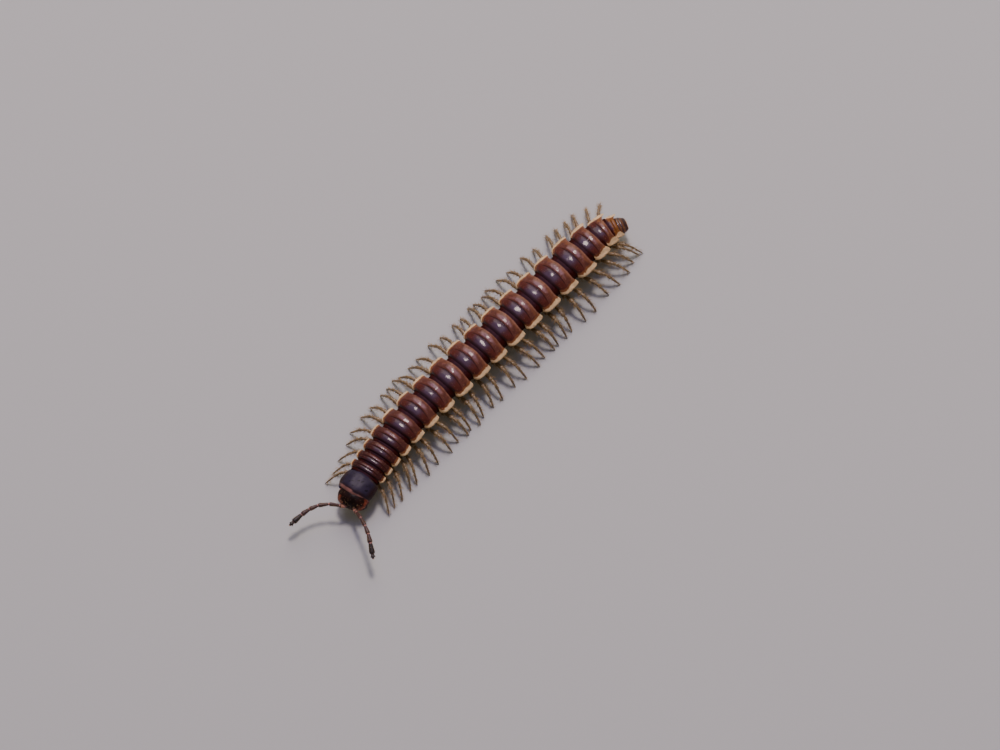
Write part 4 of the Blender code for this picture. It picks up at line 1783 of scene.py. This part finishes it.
@dataclass
class Head:
    """The head: capsule, cheeks, lip and mouthparts, turned a little to the animal's left.

    Attributes:
        body: the body's plan.
        length: how far the dome reaches forward of the collum.
        squared: power on the sines of its outline across, less than 1 for a squarer form.
        narrowing: power of the share of the length by which it narrows forwards.
        turned: angle of its front to the left, in radians.
        shifted: how far its middle lies to the left of the body's, in mm.
        mouth_drawn_back: how far the mouth lies behind the brow, as a share of the length.
        jaw_narrowed: how much narrower it is at the bottom, as a share.
        mouth_below: height below which both set in.
        socket_stands_out: how far they stand out of the dome.
        socket_faces: sideways and upward part of the direction that they face.
        mouth: the mouthparts, by their distance forward, across and height.
        collar, collar_rows, collar_width: the stretch behind the collum's margin as shares of the
            length, its rows, and its width as a share.
    """

    body: BodyPlan
    length: float = 0.57
    half_width: float = 0.77
    top: float = 1.50
    bottom: float = 0.36
    squared: float = 0.86
    narrowing: float = 2.2
    turned: float = 0.25
    shifted: float = 0.11
    mouth_drawn_back: float = 0.58
    jaw_narrowed: float = 0.16
    mouth_below: float = 0.83
    socket_height: float = 1.00
    socket_across: float = 0.23
    socket_stands_out: float = 0.03
    socket_faces: tuple[float, float] = (0.35, 0.12)
    mouth: tuple[Lump, ...] = (
        Lump((0.10, 0.00, 0.42), (0.20, 0.42, 0.14), 0.8),
        Lump((0.06, 0.50, 0.60), (0.16, 0.18, 0.22), 0.9),
        Lump((0.06, -0.50, 0.60), (0.16, 0.18, 0.22), 0.9),
        Lump((0.34, 0.00, 0.345), (0.05, 0.035, 0.045), 1.0),
        Lump((0.33, 0.075, 0.35), (0.05, 0.030, 0.040), 1.0),
        Lump((0.33, -0.075, 0.35), (0.05, 0.030, 0.040), 1.0),
    )
    mouth_columns: int = 36
    mouth_bands: int = 22
    mouth_seam_depth: float = 0.012
    rim_height: float = 0.022
    cheek_height: float = 0.03
    lip_height: float = 0.06
    brow_height: float = 0.02
    ripple_height: float = 0.006
    seam_depth: float = 0.016
    pit_depth: float = 0.05
    groove_depth: float = 0.018
    collar: tuple[float, float] = (-0.45, -0.05)
    collar_rows: int = 6
    collar_width: float = 0.97
    hairs: int = 150
    seed: int = 31
    columns: int = 132
    rows: int = 56

    def place(self, forward: np.ndarray, across: np.ndarray, height: np.ndarray) -> np.ndarray:
        """Points in the head's own frame, turned to the left by an angle that grows forwards."""
        turn = self.turned * np.clip(forward / self.length, 0, 1)
        along = -self.body.gap / 2 - forward - turn * across
        return self.body.place(along, across - turn * forward - self.shifted, height)

    def socket(self, side: Side) -> tuple[np.ndarray, np.ndarray]:
        """Where an antenna's socket ends, and the direction that it faces."""
        across = side.value * self.socket_across
        share = (1 - (self.socket_across / self.half_width) ** 2) ** (1 / self.narrowing)
        point = self.place(np.array(share * self.length), np.array(across), np.array(self.socket_height))
        ahead, right = self.body.directions(0.0)
        outward = side.value * self.socket_faces[0] - self.turned
        facing = unit(ahead + right * outward + np.array((0.0, 0.0, self.socket_faces[1])))
        return point + facing * self.socket_stands_out, facing

    def _grid(self) -> tuple[np.ndarray, ...]:
        """The capsule's rows in the head's frame: forward, across and height, and the share.

        The share of the length runs as the sine of an angle, so that rows crowd where the dome
        curves, and goes on behind the collum's margin at full width.
        """
        dome = np.sin(np.linspace(0, math.pi / 2, self.rows - self.collar_rows + 1)[:-1])
        share = np.concatenate((np.linspace(*self.collar, self.collar_rows), dome))[:, None]
        turn = full_turn(self.columns)
        width = np.sqrt(1 - np.maximum(share, 0) ** self.narrowing)
        width = width * np.where(share < 0, self.collar_width, 1.0)
        middle = (self.top + self.bottom) / 2
        tall = (self.top - self.bottom) / 2
        sine, cosine = np.sin(turn), np.cos(turn)
        across = np.sign(sine) * np.abs(sine) ** self.squared * self.half_width * width
        height = middle + np.sign(cosine) * np.abs(cosine) ** self.squared * tall * width
        lower = np.clip((self.mouth_below - height) / tall, 0, 1)
        across = across * (1 - self.jaw_narrowed * lower)
        forward = share * self.length * (1 - self.mouth_drawn_back * lower)
        return forward, across, height, share + 0 * across

    def capsule(self) -> tuple[np.ndarray, dict[str, np.ndarray]]:
        """The head capsule with its relief.

        The relief is the sum of the crown's seam, the pits and rims of the antennae's sockets,
        the swollen cheeks, the lip with the groove above it, and slight ripples.

        Returns:
            Points on a grid, and the masks on it.
        """
        forward, across, height, share = self._grid()
        points = self.place(forward, across, height)
        out = grid_normals(points)
        front = ramp(0.25, 0.6, share)
        seam = hump(0.0, 0.016, across) * ramp(1.08, 1.18, height) * ramp(-0.1, 0.05, share)
        away = np.hypot(np.abs(across) - self.socket_across, height - self.socket_height)
        pit = np.exp(-((away / 0.10) ** 2)) * front
        rim = hump(0.155, 0.030, away) * front
        sides = np.abs(across) / self.half_width
        cheek = np.exp(-(((sides - 0.90) / 0.25) ** 2) - ((height - 0.88) / 0.30) ** 2)
        cheek = cheek * ramp(-0.1, 0.1, share)
        lip = np.exp(-((across / 0.34) ** 4) - ((height - 0.50) / 0.17) ** 2) * ramp(0.2, 0.6, share)
        groove = hump(0.66, 0.022, height) * np.exp(-((across / 0.42) ** 4)) * front
        brow = np.exp(-((across / 0.55) ** 2) - ((height - 1.22) / 0.16) ** 2) * front
        swell = self.rim_height * rim + self.cheek_height * cheek + self.lip_height * lip
        swell = swell + self.brow_height * brow + self.ripple_height * ripples(points, 0.3, 2)
        swell = swell - self.seam_depth * seam - self.pit_depth * pit - self.groove_depth * groove
        points = points + out * swell[..., None]
        patches = 0.5 + 0.5 * ripples(points, 0.40, 6)
        masks = {
            "brow": ramp(0.55, 0.30, sides) * ramp(0.7, 1.0, height) * np.clip(patches + 0.3, 0, 1),
            "cheek": ramp(0.30, 0.75, sides) * ramp(1.42, 1.10, height) * np.clip(patches + 0.4, 0, 1),
            "lip": ramp(0.82, 0.62, height) * ramp(0.05, 0.3, share),
            "edge": hump(0.99, 0.045, sides) * ramp(0.6, 0.75, height) * ramp(0.02, 0.10, share),
            "suture": np.clip(seam + groove * 0.7, 0, 1),
            "socket": np.clip(pit * 1.3 - rim, 0, 1),
        }
        masks = {name: np.clip(values, 0, 1) for name, values in masks.items()}
        return points, masks

    def mouthparts(self) -> Shape:
        """The chin plate, the bases of the mandibles and the teeth of the lip, below the capsule."""
        parts = []
        for lump in self.mouth:
            forward, across, height, _ = lump.grid(self.mouth_columns, self.mouth_bands)
            seam = hump(0.0, 0.012, across) + hump(0.19, 0.012, np.abs(across))
            points = self.place(forward, across, height)
            groove = self.mouth_seam_depth * seam * (lump.centre[1] == 0)
            points = points - grid_normals(points) * groove[..., None]
            parts.append(Shape.from_rows(points, {"seam": np.clip(seam, 0, 1)}))
        return Shape.together(parts)

    def bristles(self) -> Shape:
        """Scattered hairs on the brow, cheeks and lip."""
        points, _ = self.capsule()
        chance = np.random.default_rng(self.seed)
        row = chance.integers(12, self.rows - 1, self.hairs)
        column = chance.integers(0, self.columns, self.hairs)
        ahead, _ = self.body.directions(0.0)
        down = unit(ahead * 0.8 + np.array((0.0, 0.0, -0.6)))
        strip = 0.01 + row / self.rows / MAP_STRIP_PARTS
        return Bristle(0.075, 0.004, lean=0.5).grown_on(points, row, column, down, strip, self.seed + 1)

    def build(self, wardrobe: Wardrobe) -> None:
        """Builds the capsule, the mouthparts and the hairs.

        Args:
            wardrobe: the materials.
        """
        Shape.from_rows(*self.capsule()).place("head_capsule", wardrobe[HEAD_FINISH], Slot.HEAD, "head")
        self.mouthparts().place("head_mouthparts", wardrobe[MOUTH_FINISH], Slot.HEAD)
        self.bristles().place("head_setae", wardrobe[SETA_FINISH], Slot.HEAD)


@dataclass
class Antenna:
    """An antenna of eight articles, each a club on a narrow waist, with four cones at the tip.

    Attributes:
        head: the head that it grows from.
        side: side of the animal.
        bearings: bearing of each article from +X in degrees.
        rises: rise of each article in degrees.
        lengths: length of each in mm.
        radii: largest radius of each in mm.
        profile: (share of the length, share of the radius).
        club_articles: numbers of the articles of the dark club, counted from 0.
        neck_reach: how far the soft neck reaches into the socket and the first article, in mm.
        cone_turns: angles around the tip at which the sense cones stand, in degrees.
        cone_out: their distance from the last article's middle line, in mm.
        haired: shares of an article's length between which down grows.
    """

    head: Head
    side: Side
    bearings: tuple[float, ...]
    rises: tuple[float, ...]
    lengths: tuple[float, ...] = (0.22, 0.52, 0.53, 0.45, 0.45, 0.55, 0.17, 0.06)
    radii: tuple[float, ...] = (0.100, 0.098, 0.102, 0.108, 0.120, 0.138, 0.112, 0.060)
    profile: Table = (
        (-0.06, 0.35), (0.00, 0.62), (0.04, 0.68), (0.14, 0.72), (0.30, 0.79), (0.50, 0.89),
        (0.70, 0.98), (0.82, 1.00), (0.91, 0.94), (0.97, 0.80), (1.00, 0.60),
    )
    columns: int = 18
    steps: int = 30
    club_articles: tuple[int, ...] = (5, 6, 7)
    neck_radii: tuple[float, float] = (0.085, 0.055)
    neck_reach: tuple[float, float] = (0.14, 0.03)
    neck_rows: int = 8
    cone_turns: tuple[float, ...] = (45, 135, 225, 315)
    cone_starts: float = 0.8
    cone_out: float = 0.022
    cone_length: float = 0.055
    cone_radius: float = 0.012
    cone_rows: int = 6
    cone_columns: int = 8
    haired: tuple[float, float] = (0.15, 0.95)
    hairs_by_mm: int = 150
    place_seed: int = 50
    hair_seed: int = 60

    def _articles(self) -> list[tuple[np.ndarray, np.ndarray, float]]:
        """Start, direction and length of each article."""
        point, facing = self.head.socket(self.side)
        here = point + facing * self.head.body.gap
        found = []
        for length, bearing, rise in zip(self.lengths, np.radians(self.bearings), np.radians(self.rises)):
            level = math.cos(rise)
            way = np.array((level * math.cos(bearing), level * math.sin(bearing), math.sin(rise)))
            found.append((here, way, length))
            here = here + way * length
        return found

    def skin(self) -> Shape:
        """The articles, a neck of soft skin into the socket, and the cones of the tip."""
        articles = self._articles()
        table = np.array(self.profile)
        share = spread_rows(table, self.steps)
        parts = []
        for number, ((here, way, length), radius) in enumerate(zip(articles, self.radii)):
            radii = eased(table[:, 0], table[:, 1], share) * radius
            rows = round_rows(here + share[:, None] * length * way, radii, self.columns)
            rows = rows + grid_normals(rows) * (0.002 * ripples(rows, 0.06, number))[..., None]
            club = np.full(share.shape, float(number in self.club_articles))
            joint = np.maximum(ramp(0.10, 0.0, share), ramp(0.95, 1.0, share)) * (0.4 if number > 5 else 1.0)
            base = ramp(0.9, 0.5, share) * (number == 0)
            masks = {"club": club, "joint": joint, "base": base}
            parts.append(Shape.banded(rows, masks))
        point, facing = self.head.socket(self.side)
        inside, beyond = self.neck_reach
        steps = np.linspace(-inside, self.head.body.gap + beyond, self.neck_rows)
        neck = point + facing * steps[:, None]
        rows = round_rows(neck, np.linspace(*self.neck_radii, self.neck_rows), self.columns)
        parts.append(Shape.banded(rows, {"joint": np.ones(self.neck_rows)}))
        here, way, length = articles[-1]
        _, above, beside = tube_frame(np.stack((here, here + way)))
        narrow = self.cone_radius * np.sqrt(1 - np.linspace(0, 0.95, self.cone_rows) ** 2)
        for turn in np.radians(self.cone_turns):
            out = above[0] * math.cos(turn) + beside[0] * math.sin(turn)
            foot = here + way * length * self.cone_starts + out * self.cone_out
            path = foot + way * np.linspace(0, self.cone_length, self.cone_rows)[:, None]
            rows = round_rows(path, narrow, self.cone_columns)
            parts.append(Shape.banded(rows, {"cone": np.ones(self.cone_rows)}))
        return Shape.together(parts)

    def bristles(self) -> Shape:
        """Short dense down on every article, pointing to the tip."""
        table = np.array(self.profile)
        parts = []
        for number, ((here, way, length), radius) in enumerate(zip(self._articles(), self.radii)):
            chance = np.random.default_rng(self.place_seed + number)
            count = int(self.hairs_by_mm * length)
            share = chance.uniform(*self.haired, count)
            turn = chance.uniform(0, 2 * math.pi, count)
            _, above, beside = tube_frame(np.stack((here, here + way)))
            out = np.cos(turn)[:, None] * above[0] + np.sin(turn)[:, None] * beside[0]
            radii = eased(table[:, 0], table[:, 1], share) * radius
            roots = here + share[:, None] * length * way + out * radii[:, None]
            back = np.broadcast_to(way, roots.shape)
            spread = 0.5 + self.side.value * (number + turn / 7) / 20
            spots = np.stack((0.001 + 0.008 * share, spread), axis=-1)
            seed = self.hair_seed + number
            parts.append(Bristle(0.06, 0.0035, lean=1.0).grown(roots, out, back, spots, seed))
        return Shape.together(parts)

    def build(self, wardrobe: Wardrobe) -> None:
        """Builds the articles and the down.

        Args:
            wardrobe: the materials.
        """
        node = "antenna_" + self.side.name.lower()
        self.skin().place(node + "_articles", wardrobe[ANTENNA_FINISH], Slot.ANTENNA, node)
        self.bristles().place(node + "_setae", wardrobe[SETA_FINISH], Slot.ANTENNA)


# Floor, light and camera


@dataclass
class Studio:
    """A plain pale floor under a small bright lamp, a wide side one and a violet-blue light.

    The violet-blue light is a nest of disks of growing size, so that its reflection has no hard
    border.

    Attributes:
        floor: colour of the floor.
        floor_roughness: its roughness.
        floor_size: length of its sides in mm.
        sky: colour of the light from all round.
        sky_strength: its strength.
        lamps: (direction, distance and side in mm, power in watts, colour) of each soft lamp.
    """

    floor: str = "#C2C8C6"
    floor_roughness: float = 0.9
    floor_size: float = 1500.0
    sky: str = "#DCCFC4"
    sky_strength: float = 0.25
    lamps: tuple[tuple[tuple[float, float, float], float, float, float, str], ...] = (
        ((0.30, 0.25, 0.92), 300.0, 60.0, 0.52, "#FFE8DC"),
        ((0.56, 0.52, 0.64), 330.0, 230.0, 0.44, "#FFEEDA"),
        ((0.28, 0.29, 0.92), 600.0, 220.0, 0.15, "#8C86FF"),
        ((0.28, 0.29, 0.92), 602.0, 400.0, 0.36, "#8C86FF"),
        ((0.28, 0.29, 0.92), 604.0, 640.0, 0.42, "#8C86FF"),
    )

    def build(self) -> None:
        """Builds the floor, the lamps and the light from all round."""
        half = self.floor_size / 2 * MM
        mesh = bpy.data.meshes.new("floor")
        corners = [(-half, -half, 0), (half, -half, 0), (half, half, 0), (-half, half, 0)]
        mesh.from_pydata(corners, [], [(0, 1, 2, 3)])
        floor = add_object("floor", mesh)
        material = bpy.data.materials.new("matt_card")
        material.use_nodes = True
        shader = material.node_tree.nodes["Principled BSDF"]
        shader.inputs["Base Color"].default_value = linear(self.floor)
        shader.inputs["Roughness"].default_value = self.floor_roughness
        mesh.materials.append(material)
        for number, (way, distance, side, power, colour) in enumerate(self.lamps):
            lamp = bpy.data.lights.new(f"lamp_{number}", "AREA")
            lamp.shape = "DISK"
            lamp.size = side * MM
            lamp.energy = power
            lamp.color = linear(colour)[:3]
            place = unit(np.array(way)) * distance * MM
            stand(add_object(lamp.name, lamp), place, -place)
        world = bpy.data.worlds.new("overcast")
        world.use_nodes = True
        ground = world.node_tree.nodes["Background"]
        ground.inputs["Color"].default_value = linear(self.sky)
        ground.inputs["Strength"].default_value = self.sky_strength
        bpy.context.scene.world = world


@dataclass
class Camera:
    """The photograph's camera: high in front of the animal's left side, with a long lens.

    Attributes:
        aim: point of the floor at the middle of the picture, in mm.
        azimuth: direction that the camera looks in, from +Y towards -X, in degrees.
        elevation: height of the camera above the horizon, in degrees.
        distance: distance from the aim in mm.
        field: width of the picture at the aim in mm.
    """

    aim: tuple[float, float] = (1.491, -0.507)
    azimuth: float = -45.5
    elevation: float = 65.0
    distance: float = 420.0
    field: float = 48.54
    SENSOR = 36.0
    CLIP = (0.01, 10.0)

    def build(self) -> None:
        """Makes the camera and gives it to the scene."""
        data = bpy.data.cameras.new("camera")
        data.sensor_width = self.SENSOR
        data.lens = self.SENSOR * self.distance / self.field
        data.clip_start, data.clip_end = self.CLIP
        made = add_object("camera", data)
        turn, rise = math.radians(self.azimuth), math.radians(self.elevation)
        back = np.array((math.sin(turn) * math.cos(rise), -math.cos(turn) * math.cos(rise), math.sin(rise)))
        stand(made, (np.array((*self.aim, 0.0)) + back * self.distance) * MM, -back)
        bpy.context.scene.camera = made


def main() -> None:
    """Builds the animal from head to tail, then the studio."""
    logging.basicConfig(level=logging.INFO, format="%(name)s %(message)s")
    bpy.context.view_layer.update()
    body = BodyPlan()
    wardrobe = Wardrobe()
    head = Head(body)
    right = Antenna(
        head,
        Side.RIGHT,
        (120.0, 129.0, 143.0, 158.0, 168.0, 176.0, 176.0, 176.0),
        (14.0, 8.0, 0.0, -6.0, -10.0, -10.0, -8.0, -8.0),
    )
    left = Antenna(
        head,
        Side.LEFT,
        (-98.0, -108.0, -111.0, -116.0, -122.0, -124.0, -124.0, -126.0),
        (30.0, 28.0, 14.0, 0.0, -14.0, -20.0, -16.0, -12.0),
    )
    for part in (head, right, left, Collum(body), Trunk(body), Telson(body)):
        log.info("building %s", type(part).__name__)
        part.build(wardrobe)
    Studio().build()
    Camera().build()


if __name__ == "__main__":
    main()
